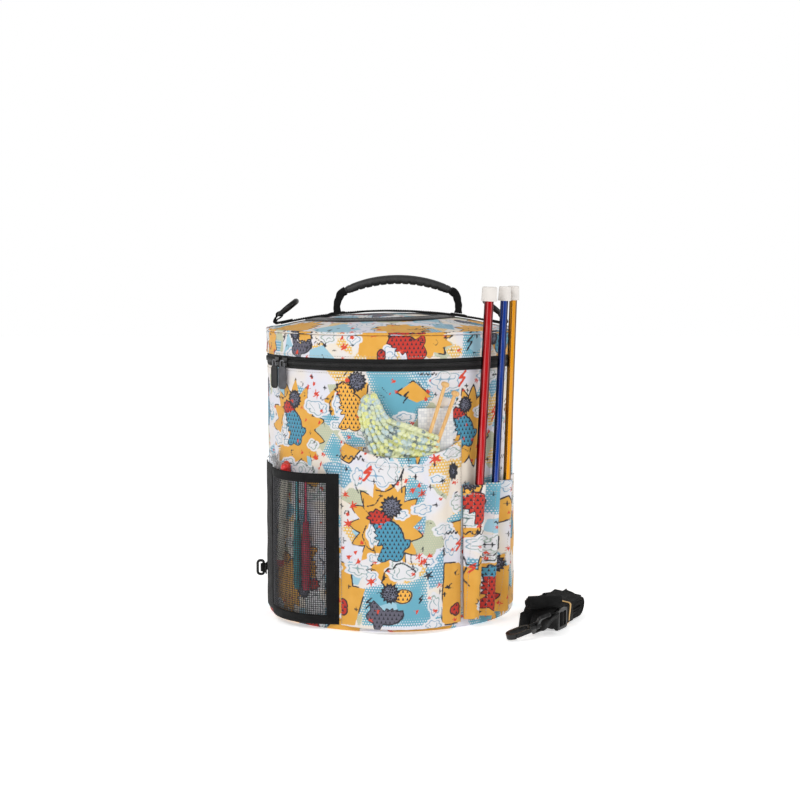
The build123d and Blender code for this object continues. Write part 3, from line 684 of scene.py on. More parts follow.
def nearest(points, closed):
    """Distance to a line through points, and whether inside it."""
    ends = points[1:] + points[:1] if closed else points[1:]

    def measure(x, y):
        best = np.full(x.shape, 1e9)
        inside = np.zeros(x.shape, bool)
        for (ax, ay), (bx, by) in zip(points, ends):
            ex, ey = bx - ax, by - ay
            t = np.clip(((x - ax) * ex + (y - ay) * ey) / (ex * ex + ey * ey), 0, 1)
            best = np.minimum(best, np.hypot(x - ax - ex * t, y - ay - ey * t))
            if by != ay:
                inside ^= ((ay > y) != (by > y)) & (x < ex * (y - ay) / (by - ay) + ax)
        return best, inside

    return measure


def outline(points, closed, offset):
    """Shape bounded by a closed line, or a pen line of twice the offset."""
    cx, cy = (sum(c) / len(points) for c in zip(*points))
    local = [(x - cx, y - cy) for x, y in points]
    measure = nearest(local, closed)
    reach = max(math.hypot(x, y) for x, y in local) + 6

    def distance(x, y):
        best, inside = measure(x, y)
        return np.where(inside & closed, -best, best) - offset

    return cx, cy, reach, distance, None


def patch(*points):
    """Straight-sided patch of colour."""
    return outline(list(points), True, 0.0)


def stroke(*points, width=1.2):
    """Pen stroke."""
    return outline(list(points), False, width / 2)


def spark(cx, cy, r, arms=6, turn=0.4):
    """Star of thin arms."""

    def distance(x, y):
        angle = np.arctan2(y, x) + turn
        return (np.hypot(x, y) - r * (0.26 + 0.74 * np.abs(np.cos(angle * arms / 2)) ** 5)) * 0.6

    return cx, cy, r + 4, distance, None


def crosses(*places, r=2.6):
    """Plus signs at (u, v) places."""
    ends = [(((x - r, y), (x + r, y)), ((x, y - r), (x, y + r))) for x, y in places]
    return [stroke(*pair, width=1.1) for both in ends for pair in both]


def bolt(cx, cy, size=6.0, width=1.6):
    """Zigzag flash."""
    zigzag = ((0.5, 1), (-0.45, 0.1), (0.4, 0.15), (-0.5, -1))
    return stroke(*((cx + x * size, cy + y * size) for x, y in zigzag), width=width)


def scrawl(cx, cy, length, waves=6, height=3.0):
    """Meaningless wavy pen line."""
    steps = np.linspace(0, 1, waves * 4)
    points = [(cx + (t - 0.5) * length, cy + height * math.sin(t * waves * TAU) * (0.5 + t / 2)) for t in steps]
    return stroke(*points, width=1.3)


def leaf(cx, cy, length, width, turn, hue):
    """Scaly leaf: one straight side, one saw-toothed, and a scalloped fan at its foot."""
    c, s = math.cos(math.radians(turn)), math.sin(math.radians(turn))

    def distance(x, y):
        a, b = x * c + y * s, y * c - x * s
        angle = np.arctan2(b / width, (a - 0.08 * length) / length)
        tooth = 0.34 * np.abs((angle * 17 / TAU) % 1 - 0.5) * 2 * (b > -0.1 * width)
        body = (np.hypot((a - 0.08 * length) / (0.46 * length), b / (0.56 * width)) - 1 + tooth) * 0.42 * width
        fan_angle = np.arctan2(b - 0.1 * width, -(a + 0.02 * length))
        scallop = 0.8 + 0.2 * np.abs(np.cos(fan_angle * 3.2))
        fan = np.hypot(a + 0.02 * length, b - 0.1 * width) - 0.56 * length * scallop
        wedge = np.abs(b - 0.1 * width) - 1.5 * np.maximum(0, -(a + 0.02 * length)) - 0.2 * width
        return np.minimum(body, np.maximum(fan, wedge))

    return cx, cy, length, distance, hue


def creature(cx, cy, size=1.0, turn=0.0, first="red", second="teal"):
    """Quill ball, round berry and scaly leaf in a group."""
    c, s = math.cos(math.radians(turn)), math.sin(math.radians(turn))

    def at(x, y):
        return cx + size * (x * c - y * s), cy + size * (x * s + y * c)

    return {
        "spiky": [burst(*at(3, 22), 11 * size, 11.5 * size, 15, 0.3)],
        "scaly": [burst(*at(-8, 12), 13 * size, 9 * size, 9, 0.25, 0.6, hue=first),
                  leaf(*at(2, -8), 37 * size, 25 * size, 122 + turn, second)],
        "cloud": [puff(*at(-14, -4), 7 * size, 13 * size, 5), puff(*at(-13, -26), 8 * size, 6 * size, 4)],
        "ink": [stroke(*(at(x, y) for x, y in ((-20, 4), (-24, -6), (-20, -16), (-12, -20))), width=1.3),
                stroke(*(at(x, y) for x, y in ((-19, 22), (-12, 24), (-8, 30))), width=1.3)],
    }


PATCH_SHARES = {"sand": 0.14, "lattice": 0.12, "halftone": 0.24, "teal": 0.2, "sky": 0.12, "ochre": 0.18}


def scatter(u0, u1, v0, v1, seed, spacing=34.0):
    """Seeded filling of patches, puffs and small pen marks, one group to each cell of a loose grid."""
    rng = np.random.default_rng(seed)
    made = {name: [] for name in (*PATCH_SHARES, "cloud", "red", "ink")}
    for cu in np.arange(u0 + spacing / 2, u1, spacing):
        for cv in np.arange(v0 + spacing / 2, v1, spacing):
            x, y = cu + rng.uniform(-0.3, 0.3) * spacing, cv + rng.uniform(-0.3, 0.3) * spacing
            size = rng.uniform(0.3, 0.48) * spacing
            turn = rng.uniform(0, TAU)
            angles = turn + np.sort(rng.uniform(0, TAU, 4)) * 0.2 + np.arange(4) * TAU / 4 * 0.9
            reach = rng.uniform(0.7, 1.25, 4) * size
            kind = rng.choice(list(PATCH_SHARES), p=list(PATCH_SHARES.values()))
            made[kind].append(patch(*((x + r * math.cos(a), y + r * math.sin(a)) for a, r in zip(angles, reach))))
            x, y = cu + rng.uniform(-0.5, 0.5) * spacing, cv + rng.uniform(-0.5, 0.5) * spacing
            if rng.random() < 0.4:
                made["cloud"].append(puff(x, y, rng.uniform(9, 14), rng.uniform(6, 9), int(rng.integers(4, 7)), turn))
            for _ in range(3):
                x, y = cu + rng.uniform(-0.5, 0.5) * spacing, cv + rng.uniform(-0.5, 0.5) * spacing
                pick = rng.integers(0, 4)
                if pick < 2:
                    made["red"].append(spark(x, y, rng.uniform(2.4, 4.2)))
                elif pick == 2:
                    made["ink"] += crosses((x, y), r=2.2)
                else:
                    steps = (-1, -0.4, 0.3, 1)
                    bend = [(x + t * 5 * math.cos(turn + t), y + t * 5 * math.sin(turn + t)) for t in steps]
                    made["ink"].append(stroke(*bend, width=1.1))
    return made


def layout(*parts):
    """Merges dicts of layers."""
    merged = {name: [] for name in LAYERS}
    for part in parts:
        for name, shapes in part.items():
            merged[name] += shapes
    return merged


def fields(layout_, u, v, period=None):
    """Each layer's signed distance at places on the cloth, and the hue of scaly shapes."""
    u, v = u.ravel(), v.ravel()
    made = {name: np.full(u.shape, 9.0) for name in LAYERS}
    hue = np.zeros(u.shape)
    for name, shapes in layout_.items():
        for cx, cy, reach, distance, tint in shapes:
            x, y = u - cx, v - cy
            if period:
                x = (x + period / 2) % period - period / 2
            near = (np.abs(x) < reach) & (np.abs(y) < reach)
            if not near.any():
                continue
            value = distance(x[near], y[near])
            if tint is not None:
                hue[near] = np.where(value < np.minimum(made[name][near], 1.5), HUES[tint], hue[near])
            made[name][near] = np.minimum(made[name][near], value)
    return {**made, "hue": hue}


def ink(piece, layout_, u, v, period=None):
    """Prints a layout on a piece."""
    lay_cloth(piece, u, v, None if period is None else 2 * period)
    for name, values in fields(layout_, u, v, period).items():
        stored = piece.data.attributes.new(name, "FLOAT", "POINT")
        stored.data.foreach_set("value", values.astype(np.float32))


def several(shape):
    """The same kind of shape at several places."""
    return lambda *places: [shape(*place) for place in places]


bursts, puffs, patches, leaves, sparks, bolts, scrawls, creatures = (
    several(shape) for shape in (burst, puff, patch, leaf, spark, bolt, scrawl, creature))


def strokes(*paths, width=1.2):
    """Pen strokes of one width."""
    return [stroke(*path, width=width) for path in paths]


WALL_PRINT = layout(
    scatter(-220, 220, 0, 282, 201),
    *creatures(
        (-120, 224, 1.0, 0, "red", "teal"), (-42, 246, 1.05, -8, "amber", "amber"),
        (84, 222, 0.9, 0, "red", "teal"), (-98, 60, 1.0, 170, "red", "amber"),
        (150, 100, 1.0, 20, "amber", "red"), (-170, 70, 1.0, -20, "teal", "red"),
        (178, 222, 1.0, 10, "amber", "slate"), (-198, 236, 0.9, 0, "red", "teal"),
    ),
    dict(
        ochre=bursts(
            (-120, 214, 47, 54, 15, 0.32), (-136, 40, 34, 34, 14, 0.3), (94, 218, 28, 44, 11, 0.3),
            (-52, 40, 22, 36, 9, 0.25), (152, 96, 50, 52, 14, 0.32), (38, 30, 46, 40, 13, 0.3),
            (200, 226, 34, 42, 12, 0.3), (-168, 60, 44, 50, 13, 0.3), (20, 120, 40, 42, 12, 0.3),
        ),
        lattice=patches(
            ((-72, 280), (-38, 280), (-44, 262), (-58, 266)),
            ((116, 250), (150, 262), (146, 222), (122, 216)),
            ((-150, 134), (-126, 142), (-120, 112), (-146, 108)), ((60, 190), (84, 184), (74, 158)),
        ),
        sand=patches(((-70, 264), (-38, 266), (-44, 246), (-60, 238)))
        + puffs((-76, 212, 24, 22, 7), (126, 190, 22, 20, 6), (44, 232, 16, 14, 6), (-150, 128, 20, 20, 7)),
        halftone=patches(
            ((-78, 178), (-50, 186), (-28, 160), (-44, 146), (-66, 158)),
            ((0, 282), (44, 282), (46, 262), (10, 258)), ((170, 184), (204, 190), (196, 156), (176, 154)),
            ((-212, 180), (-186, 186), (-190, 150)),
        ),
        teal=patches(
            ((-26, 282), (18, 280), (50, 254), (24, 222), (-2, 226), (-20, 256)),
            ((-56, 216), (-30, 214), (-22, 200), (-44, 198)),
            ((110, 160), (150, 166), (140, 140), (104, 136)), ((104, 60), (150, 66), (146, 14), (96, 10)),
            ((-146, 176), (-128, 178), (-136, 156)), ((206, 60), (240, 50), (230, 8), (196, 10)),
            ((186, 130), (214, 140), (206, 108)),
        ),
        sky=patches(
            ((-170, 282), (-134, 282), (-140, 262), (-170, 256)),
            ((60, 150), (92, 158), (86, 120), (64, 116)),
        ),
        cloud=puffs(
            (-82, 238, 17, 10, 6), (-106, 168, 24, 12, 5, 0.3), (-66, 150, 20, 12), (62, 268, 22, 13, 5),
            (-44, 66, 18, 12), (-44, 96, 18, 10, 6), (118, 272, 22, 10), (-152, 200, 14, 9, 5),
            (-92, 60, 20, 38, 9), (-88, 22, 16, 14, 6), (176, 36, 24, 14), (-200, 124, 20, 14, 5),
            (60, 84, 22, 14), (214, 184, 16, 10),
        ),
        red=sparks(
            (-96, 260, 4.5), (-88, 264, 3.5), (-84, 253, 6), (-86, 184, 5.5), (-78, 178, 3.5), (-82, 174, 3),
            (-48, 148, 5), (-40, 136, 6), (-46, 127, 3.5), (-46, 116, 6), (-38, 80, 5), (-46, 82, 4),
            (-52, 92, 3), (112, 204, 6), (122, 210, 4), (104, 196, 4), (196, 84, 6), (204, 92, 4),
            (-212, 90, 5), (-158, 150, 5), (166, 160, 6), (158, 152, 4), (-186, 200, 5), (-140, 20, 5),
            (10, 200, 5), (64, 60, 5),
        )
        + puffs((-134, 168, 12, 10, 3))
        + bolts((82, 270, 8, 2.6), (-26, 172, 8, 2.6), (132, 230, 8, 2.4)),
        ink=crosses(
            (-90, 272), (-73, 260), (-65, 238), (-74, 220), (50, 254), (88, 262), (-52, 136), (-50, 98),
            (34, 204), (120, 180), (170, 140), (-180, 150), (-160, 20), (206, 150), (-206, 210), (140, 30),
        )
        + sparks((-57, 263, 4.5, 5), (-74, 164, 4.5, 5), (196, 40, 4.5, 5))
        + bolts((17, 252, 6), (-30, 30, 6), (128, 40, 7))
        + strokes(((-8, 262), (-3, 256)), ((-10, 254), (-6, 252)))
        + scrawls((-42, 188, 34, 7), (40, 276, 22, 5, 2), (-150, 246, 20, 4, 2.2), (150, 180, 30, 6))
        + strokes(
            ((-130, 176), (-116, 174), (-106, 182), (-96, 174), (-88, 168), (-94, 190)),
            ((70, 188), (82, 196), (92, 190), (96, 204)), width=1.3
        )
        + strokes(((30, 268), (36, 260)), width=1.6),
    ),
)

POCKET_PRINT = layout(
    scatter(-64, 92, 6, 206, 202, 40.0),
    *creatures((-2, 112, 1.15, 0, "red", "teal")),
    dict(
        ochre=bursts((-4, 116, 40, 50, 15, 0.3))
        + patches(
            ((-64, 76), (-44, 73), (-40, 50), (-26, 49), (-38, 8), (-64, 6)),
            ((58, 74), (74, 72), (92, 46), (92, 6), (56, 8)), ((84, 196), (92, 196), (92, 130), (80, 160)),
            ((26, 196), (34, 196), (28, 181)),
        ),
        lattice=patches(((41, 178), (46, 186), (60, 197), (68, 190), (66, 166), (62, 146), (42, 162))),
        sand=patches(((42, 162), (66, 165), (60, 142), (50, 150)))
        + puffs((38, 103, 22, 20, 7), (-32, 28, 7, 20, 5)),
        halftone=patches(
            ((-66, 182), (-44, 180), (-36, 168), (-48, 154), (-66, 162)),
            ((38, 70), (56, 90), (58, 54), (42, 48)),
        ),
        teal=patches(
            ((3, 197), (22, 197), (13, 177)),
            ((-28, 50), (-4, 56), (18, 56), (40, 67), (40, 38), (58, 14), (30, 9), (-30, 9)),
            ((61, 121), (74, 128), (90, 118), (90, 104), (62, 108)), ((74, 196), (84, 198), (78, 178)),
        ),
        sky=patches(((-50, 62), (-30, 60), (-34, 52), (-46, 53)), ((-42, 110), (-30, 112), (-32, 100))),
        cloud=puffs(
            (-8, 174, 21, 18, 6), (-34, 168, 8, 14, 5), (35, 134, 15, 8, 6), (-34, 69, 16, 9, 6),
            (14, 68, 21, 11, 5, 0.2), (66, 92, 10, 14, 6), (72, 138, 8, 12, 5), (48, 30, 8, 16, 5),
            (-20, 62, 9, 8, 4),
        ),
        scaly=leaves((-4, 20, 36, 17, 8, "slate"))
        + puffs(
            (14, 42, 12, 8, 2, 0.3, "amber"), (-52, 26, 8, 10, 3, 0.0, "red"), (70, 22, 6, 8, 3, 0.0, "red"),
        ),
        spiky=bursts((0, 45, 11, 12, 15, 0.3), (68, 172, 5, 11, 9, 0.3)),
        red=sparks(
            (24, 155, 5), (31, 160, 4), (34, 151, 6), (17, 165, 4), (-47, 148, 5), (-39, 137, 6),
            (-45, 127, 3.2), (-45, 117, 6), (-51, 90, 3.5), (-44, 81, 4.5), (-37, 87, 3.2), (-34, 77, 5),
            (-20, 57, 6.5), (31, 84, 5.5), (34, 77, 5), (42, 84, 4), (47, 187, 7.5), (70, 160, 4),
        )
        + bolts((-24, 172, 7.5, 2.6), (-24, 197, 4, 2.4), (74, 92, 6, 2.2)),
        ink=crosses(
            (20, 187), (27, 169), (43, 157), (49, 138), (-17, 164), (41, 119), (-52, 135), (-50, 98),
            (39, 75), (53, 45), r=3.0
        )
        + sparks((56, 163, 4.2, 5), (41, 63, 6, 5), (62, 48, 4, 5))
        + bolts((-22, 34, 6), (33, 38, 4))
        + strokes(
            ((-15, 155), (-6, 153.5), (3, 158), (10, 167), (14.5, 178), (12, 166), (12.5, 153)),
            ((-9, 56), (-6, 67), (-2, 72), (3, 71), (7, 77), (14, 78), (20, 74), (27, 68), (22, 80), (22, 87)),
            ((56, 90), (58, 84)), ((76, 78), (83, 60), (80, 45)), width=1.5
        )
        + strokes(((-25, 69), (-20, 71), (-15, 69)), width=1.4)
        + strokes(((-37, 160), (-33, 151)), ((-18, 97), (-15, 84)), width=1.3)
        + scrawls((-40, 188, 26, 5, 3.5), (-8, 191, 18, 4, 2.6), (66, 106, 12, 3, 2.5))
        + strokes(((-28, 145), (-28, 136), (-24, 131))),
    ),
)

NEEDLE_POCKET_PRINT = layout(
    scatter(80, 200, 8, 158, 203),
    scatter(-64, 92, 6, 206, 202, 40.0),
    *creatures(
        (120, 44, 1.0, -20, "teal", "red"), (90, 140, 0.9, 20, "amber", "red"),
        (172, 110, 0.9, 0, "red", "teal"),
    ),
    dict(
        ochre=bursts(
            (112, 38, 54, 42, 15, 0.3), (84, 148, 12, 20, 8, 0.3), (182, 96, 28, 34, 11, 0.3),
            (176, 16, 20, 16, 9, 0.3),
        ),
        teal=patches(
            ((108, 158), (134, 158), (130, 118), (106, 124)), ((66, 130), (98, 126), (100, 114), (64, 112)),
            ((150, 40), (176, 56), (186, 30), (156, 22)),
        ),
        sky=patches(
            ((112, 116), (134, 118), (128, 96), (108, 104)), ((148, 158), (166, 158), (160, 132), (148, 136)),
        ),
        halftone=patches(((150, 90), (172, 76), (168, 58), (146, 68))),
        sand=puffs((150, 120, 10, 20, 5)),
        cloud=puffs(
            (98, 92, 20, 11, 6), (120, 88, 14, 10, 5), (84, 118, 12, 9, 5), (140, 150, 8, 10, 5),
            (66, 90, 12, 14),
        ),
        red=sparks(
            (146, 146, 5), (156, 140, 4), (150, 132, 5), (152, 114, 6), (146, 104, 4), (142, 80, 4),
            (154, 76, 5), (170, 140, 5),
        )
        + bolts((78, 92, 7, 2.4), (88, 66, 5, 2)),
        ink=crosses((110, 88), (142, 96), (92, 106), (160, 100), (140, 130), (186, 146))
        + strokes(
            ((82, 78), (84, 70), (92, 68), (100, 74), (106, 78), (116, 76), (124, 82), (134, 80), (134, 94)),
            ((84, 66), (80, 56), (86, 46)), width=1.4
        )
        + scrawls((94, 104, 30, 5, 3), (124, 112, 14, 3, 3))
        + strokes(((60, 136), (63, 122)), width=1.3)
        + sparks((70, 50, 4, 5), (160, 60, 4, 5)),
    ),
)

LID_PRINT = layout(
    scatter(-220, 220, 290, 320, 204, 30.0),
    dict(
        ochre=bursts(
            (-18, 318, 20, 34, 9, 0.25), (38, 312, 32, 20, 11, 0.3), (-100, 316, 12, 8, 7, 0.3),
            (-168, 306, 16, 22, 9, 0.3), (150, 308, 26, 22, 10, 0.3), (-206, 300, 20, 18, 9, 0.3),
        ),
        sky=patches(((-136, 292), (-126, 319), (-113, 292)), ((-92, 300), (-74, 306), (-58, 290), (-92, 290))),
        teal=patches(
            ((82, 320), (106, 320), (106, 290), (80, 290)), ((180, 320), (208, 320), (196, 290), (176, 290)),
        ),
        sand=puffs((-146, 306, 11, 14, 5), (58, 302, 12, 12, 6)),
        cloud=puffs((0, 300, 9, 9, 4), (-68, 314, 12, 8, 5), (118, 304, 12, 10, 6), (-190, 312, 12, 8, 5)),
        lattice=patches(((-40, 292), (-28, 306), (-24, 290))),
        scaly=leaves((18, 306, 40, 20, 158, "red"), (-103, 302, 30, 13, 20, "slate"))
        + puffs((-9, 296, 6, 7, 2, 0.0, "red"))
        + leaves((150, 306, 34, 18, 30, "teal"), (-206, 304, 30, 16, -20, "red")),
        spiky=bursts((-114, 316, 9, 7, 11, 0.3), (128, 312, 9, 9, 13, 0.3)),
        red=sparks(
            (-49, 304, 6), (-40, 315, 3.6), (-51, 314, 3.4), (76, 300, 4), (-160, 296, 4), (168, 300, 5),
            (-180, 300, 4),
        ),
        ink=crosses((61, 314), (-60, 300), (112, 314), (-172, 314), (196, 306))
        + bolts((91, 308, 8, 2), (-134, 312, 4))
        + sparks((-72, 306, 3.5, 5))
        + scrawls((-78, 308, 14, 2, 3))
        + strokes(((4, 298), (8, 293)), ((-84, 314), (-78, 310))),
    ),
)

CROWN_PRINT = layout(
    scatter(-136, 136, -136, 136, 205),
    *creatures(
        (-88, 40, 1.1, 60, "red", "teal"), (58, 62, 1.1, -30, "amber", "red"),
        (96, -34, 1.0, 140, "teal", "amber"), (-20, -20, 1.1, 20, "red", "slate"),
    ),
    dict(
        ochre=bursts(
            (-108, -64, 36, 30, 12, 0.3), (54, 64, 50, 46, 14, 0.3), (-80, 46, 44, 44, 13, 0.3),
            (100, -92, 30, 34, 11, 0.3), (12, -118, 34, 20, 11, 0.3), (-10, 124, 40, 24, 11, 0.3),
        ),
        sky=patches(
            ((-84, -96), (-50, -84), (-30, -118), (-70, -128)), ((20, -64), (52, -56), (60, -92), (26, -88)),
        ),
        teal=patches(((-30, 40), (0, 60), (8, 20), (-20, 10)), ((70, 10), (110, 24), (124, -8), (88, -18))),
        halftone=patches(((-60, -30), (-34, -20), (-36, -60), (-64, -66)), ((20, 110), (50, 120), (60, 96))),
        lattice=patches(((30, -100), (62, -104), (54, -134), (28, -136)), ((-130, 0), (-108, 10), (-104, -24))),
        sand=puffs((0, -76, 20, 16), (-50, 96, 20, 16)),
        cloud=puffs(
            (-24, -100, 22, 12), (76, -60, 18, 14), (12, 6, 20, 14), (-44, 8, 16, 12), (60, 116, 16, 10),
        ),
        red=sparks(
            (-40, -110, 5), (-12, -122, 4), (30, -50, 6), (40, -40, 4), (-70, -8, 5), (112, 40, 5),
            (-10, 90, 6), (-100, 90, 5),
        ),
        ink=crosses((-56, -106), (70, -118), (50, -24), (-90, -16), (104, 64), (24, 84))
        + bolts((36, -126, 6), (-64, -112, 6), (-8, 42, 7))
        + scrawls((30, -118, 24, 5, 2.5), (-90, -34, 26, 5)),
    ),
)


# ---------------------------------------------------------------- drum and lid cloth


def drum_cloth(name, profile, layout_, body, slot, nodes, columns=550, dent=1.1, seed=1, lift=0.0):
    """Cloth hoop from a closed profile of (radius, height); its outer rows are printed and dented."""
    profile = np.asarray(profile, float)
    az, r = np.meshgrid(turns(columns), profile[:, 0])
    z = np.repeat(profile[:, 1:], columns, 1)
    u = np.radians(az) * BAG_R
    low, high = profile[:, 1].min(), profile[:, 1].max()
    fade = np.clip(np.minimum(z - low, high - z) / 12, 0, 1) * (r > profile[:, 0].max() - 0.6)
    hollow = 0.5 + 0.5 * ripple(u, z * 0.5, 46, seed, 2 * PERIOD)
    crease = np.clip(ripple(u, z * 0.35, 17, seed + 9, 2 * PERIOD), 0, 1)
    r = r - fade * dent * (hollow + 0.45 * crease)
    piece = add_piece(name, on_wall(r, az, z), closed_faces(len(profile), columns), PRINT, body, slot, nodes)
    ink(piece, layout_, u, z + lift, PERIOD)


def hoop_profile(inner, outer, low, high, rows, lip=0.8):
    """Closed section of a cloth hoop: fine rows outside, rolled lips, two rows inside."""
    outside = [(outer, h) for h in np.linspace(low + lip, high - lip, rows)]
    return [(outer - lip, low)] + outside + [(outer - lip, high), (inner, high), (inner, low)]


wall = hoop_profile(BAG_R - WALL_DEPTH, BAG_R, SEAM_Z, WALL_TOP, 164)
drum_cloth("printed_wall", wall, WALL_PRINT, "bag", "print_fabric", ["body_wall"])
foot = [(BAG_R - inset, z) for inset, z in (
    (WALL_DEPTH, 0.0), (2, 0.1), (0.6, 0.7), (0, 2.2), (0, 5), (0, 8), (0.2, 10.2), (0.9, SEAM_Z),
    (WALL_DEPTH, SEAM_Z))]
drum_cloth("printed_foot_band", foot, WALL_PRINT, "bag", "base_print", ["base_band"], dent=0.3, seed=4, lift=44.0)
lid_wall = hoop_profile(LID_R - WALL_DEPTH, LID_R, LID_BOTTOM, corners("lid_side")[1][2], 16)
drum_cloth("printed_lid_side", lid_wall, LID_PRINT, "lid", "print_fabric", ["lid_side"], dent=0.7, seed=5)


def lid_top():
    """Domed crown, softly dished between its seams, and the gathered piping round it."""
    columns = 440
    radius = np.append(np.linspace(0.5, CROWN_SEAM, 84), (137.3, 137.7, 137.7, 60, 0.5))
    az, r = np.meshgrid(turns(columns), radius)
    x, y = on_disc(r, az)
    z = dome(x, y)
    fade = np.clip((CROWN_SEAM - r) / 14, 0, 1)
    z = z - fade * (0.35 + 0.35 * ripple(x, y, 55, 12) + 0.2 * np.clip(ripple(x, y, 20, 13), 0, 1))
    z[-4] -= 1.2
    z[-3:] -= 3.0
    points, faces = np.stack([x, y, z], -1)[::-1], closed_faces(len(radius), columns)
    piece = add_piece("printed_crown", points, faces, PRINT, "lid", "print_fabric", ["lid_crown"])
    ink(piece, CROWN_PRINT, x[::-1], y[::-1])

    low, high = corners("lid_piping")
    cord_r = (high[2] - low[2]) / 2
    columns, sides = 720, 10
    az, phase = np.meshgrid(turns(columns), np.arange(sides) * TAU / sides)
    gather = 1 + 0.06 * np.sin(np.radians(az) * 150) + 0.05 * ripple(np.radians(az) * BAG_R, phase, 25, 3, 2 * PERIOD)
    r = high[0] - cord_r + cord_r * gather * np.cos(phase)
    z = (low[2] + high[2]) / 2 + cord_r * gather * np.sin(phase)
    piece = add_piece("printed_piping", on_wall(r, az, z), closed_faces(sides, columns), PRINT, "lid", "print_fabric",
                      ["lid_piping"])
    ink(piece, LID_PRINT, np.radians(az) * BAG_R, 312 + 2 * phase, PERIOD)


lid_top()


# ---------------------------------------------------------------- pockets


def front_pocket():
    """Open pocket: a sheet that bellies off the wall, creased above its foot, with a turned hem."""
    centre, radius = lens(FRONT_POCKET, FRONT_BULGE)
    ends = on_wall(POCKET_BACK, np.array(FRONT_POCKET))[:, :2] - centre
    first, last = np.arctan2(ends[:, 0], -ends[:, 1])
    low, high = corners("front_pocket")
    columns = 104
    turn, share = np.linspace(first, last, columns), np.linspace(0, 1, 138)
    sag = high[2] - 16 * (1 - (2 * np.linspace(0, 1, columns) - 1) ** 2)
    z = low[2] + share[:, None] * (sag - low[2])[None]
    turn, share = np.meshgrid(turn, share)
    arc = (turn - (first + last) / 2) * radius
    edge = np.clip(np.minimum(turn - first, last - turn) * radius / 12, 0, 1)
    belly = edge * np.clip((z - low[2]) / 18, 0, 1)
    wave = 1.3 * ripple(arc, z * 0.3, 34, 21) + 0.5 * ripple(arc, z * 0.5, 13, 22)
    gather = np.exp(-((z - low[2]) / 10)) * np.sin(arc / 2.6) * 0.5
    out = belly * wave - 0.4 * edge + gather * edge
    from_top = sag[None] - z
    hem = np.where(from_top < 11, 0.35, 0.0) - 0.5 * np.exp(-(((from_top - 10.5) / 0.9) ** 2))
    r_out = radius + out + hem * edge
    r_in = radius - FABRIC + out * 0.8

    def skin(r):
        return np.stack([centre[0] + r * np.sin(turn), centre[1] - r * np.cos(turn), z], -1)

    points, faces, used = plate(skin(r_out), skin(r_in))
    piece = add_piece("printed_front_pocket", points, faces, PRINT, "bag", "print_fabric", ["front_pocket"])
    u, v = (centre[0] + radius * np.sin(turn)).ravel()[used], z.ravel()[used]
    ink(piece, POCKET_PRINT, u, v)
    hem_line = skin(radius + out + 0.45)[-1] - 9.6 * UP
    return [hem_line] + [skin(radius + out + 0.3)[2:-3, k] for k in (1, -2)]


def sleeve_height(azimuth, z):
    """Distance from the axis of the needle pocket's face: it tents over each needle."""
    r = np.full(np.broadcast(azimuth, z).shape, POCKET_BACK + FABRIC + 0.1)
    turn = np.radians(azimuth)
    for slot_x, lean, radius in NEEDLES.values():
        slope = math.tan(math.radians(lean))
        x = slot_x + (z - NEEDLE_POCKET_TOP) * slope
        foot_x, zip_x = slot_x - 138 * slope, slot_x + (ZIP_Z - NEEDLE_POCKET_TOP) * slope
        foot_y = -math.sqrt((BAG_R + 1 + radius) ** 2 - foot_x**2)
        zip_y = -math.sqrt((BAG_R + 8.4 + radius) ** 2 - zip_x**2)
        y = foot_y + (zip_y - foot_y) * (z - 18) / (ZIP_Z - 18)
        along = x * np.sin(turn) - y * np.cos(turn)
        aside = x * np.cos(turn) + y * np.sin(turn)
        reach = radius + 0.5 + FABRIC
        bump = along + reach * np.sqrt(np.clip(1 - (aside / reach) ** 2, 0.0, 1))
        skirt = along + reach * 0.75 - 1.05 * np.maximum(np.abs(aside) - reach * 0.66, 0)
        bump = np.where(np.abs(aside) < reach * 0.66, bump, skirt)
        r = np.maximum(r, bump)
    return r


def needle_pocket():
    """Printed panel sewn down between three sleeves that swell over the needles."""
    low = corners("needle_pocket")[0][2]
    height = np.linspace(low, NEEDLE_POCKET_TOP, 104)
    az, z = np.meshgrid(np.linspace(*NEEDLE_POCKET, 150), height)
    r = sleeve_height(az, z)
    for _ in range(2):
        r[:, 1:-1] = (r[:, :-2] + 2 * r[:, 1:-1] + r[:, 2:]) / 4
    u = np.radians(az) * BAG_R
    r = r + 0.25 * ripple(u, z * 0.4, 16, 31) * np.clip((NEEDLE_POCKET_TOP - z) / 20, 0, 1) + 0.25
    from_top = NEEDLE_POCKET_TOP - z
    r = r + np.where(from_top < 9, 0.3, 0) - 0.4 * np.exp(-(((from_top - 8.6) / 0.8) ** 2))
    r = np.maximum(r, POCKET_BACK + FABRIC)
    points, faces, used = plate(on_wall(r, az, z), on_wall(r - FABRIC, az, z))
    piece = add_piece("printed_needle_pocket", points, faces, PRINT, "bag", "print_fabric", ["needle_pocket"])
    ink(piece, NEEDLE_POCKET_PRINT, u.ravel()[used], z.ravel()[used])
    lines = [on_wall(r + 0.15, az, z)[-8]]
    first, second, third = (slot_x for slot_x, _, _ in NEEDLES.values())
    for x in (first - 12, (first + second) / 2, (second + third) / 2, third + 8.5):
        at = np.degrees(np.arcsin(np.clip((x + (height - NEEDLE_POCKET_TOP) * 0.04) / BAG_R, -1, 1)))
        lines.append(on_wall(sleeve_height(at, height) + 0.35, at, height)[2:])
    return lines


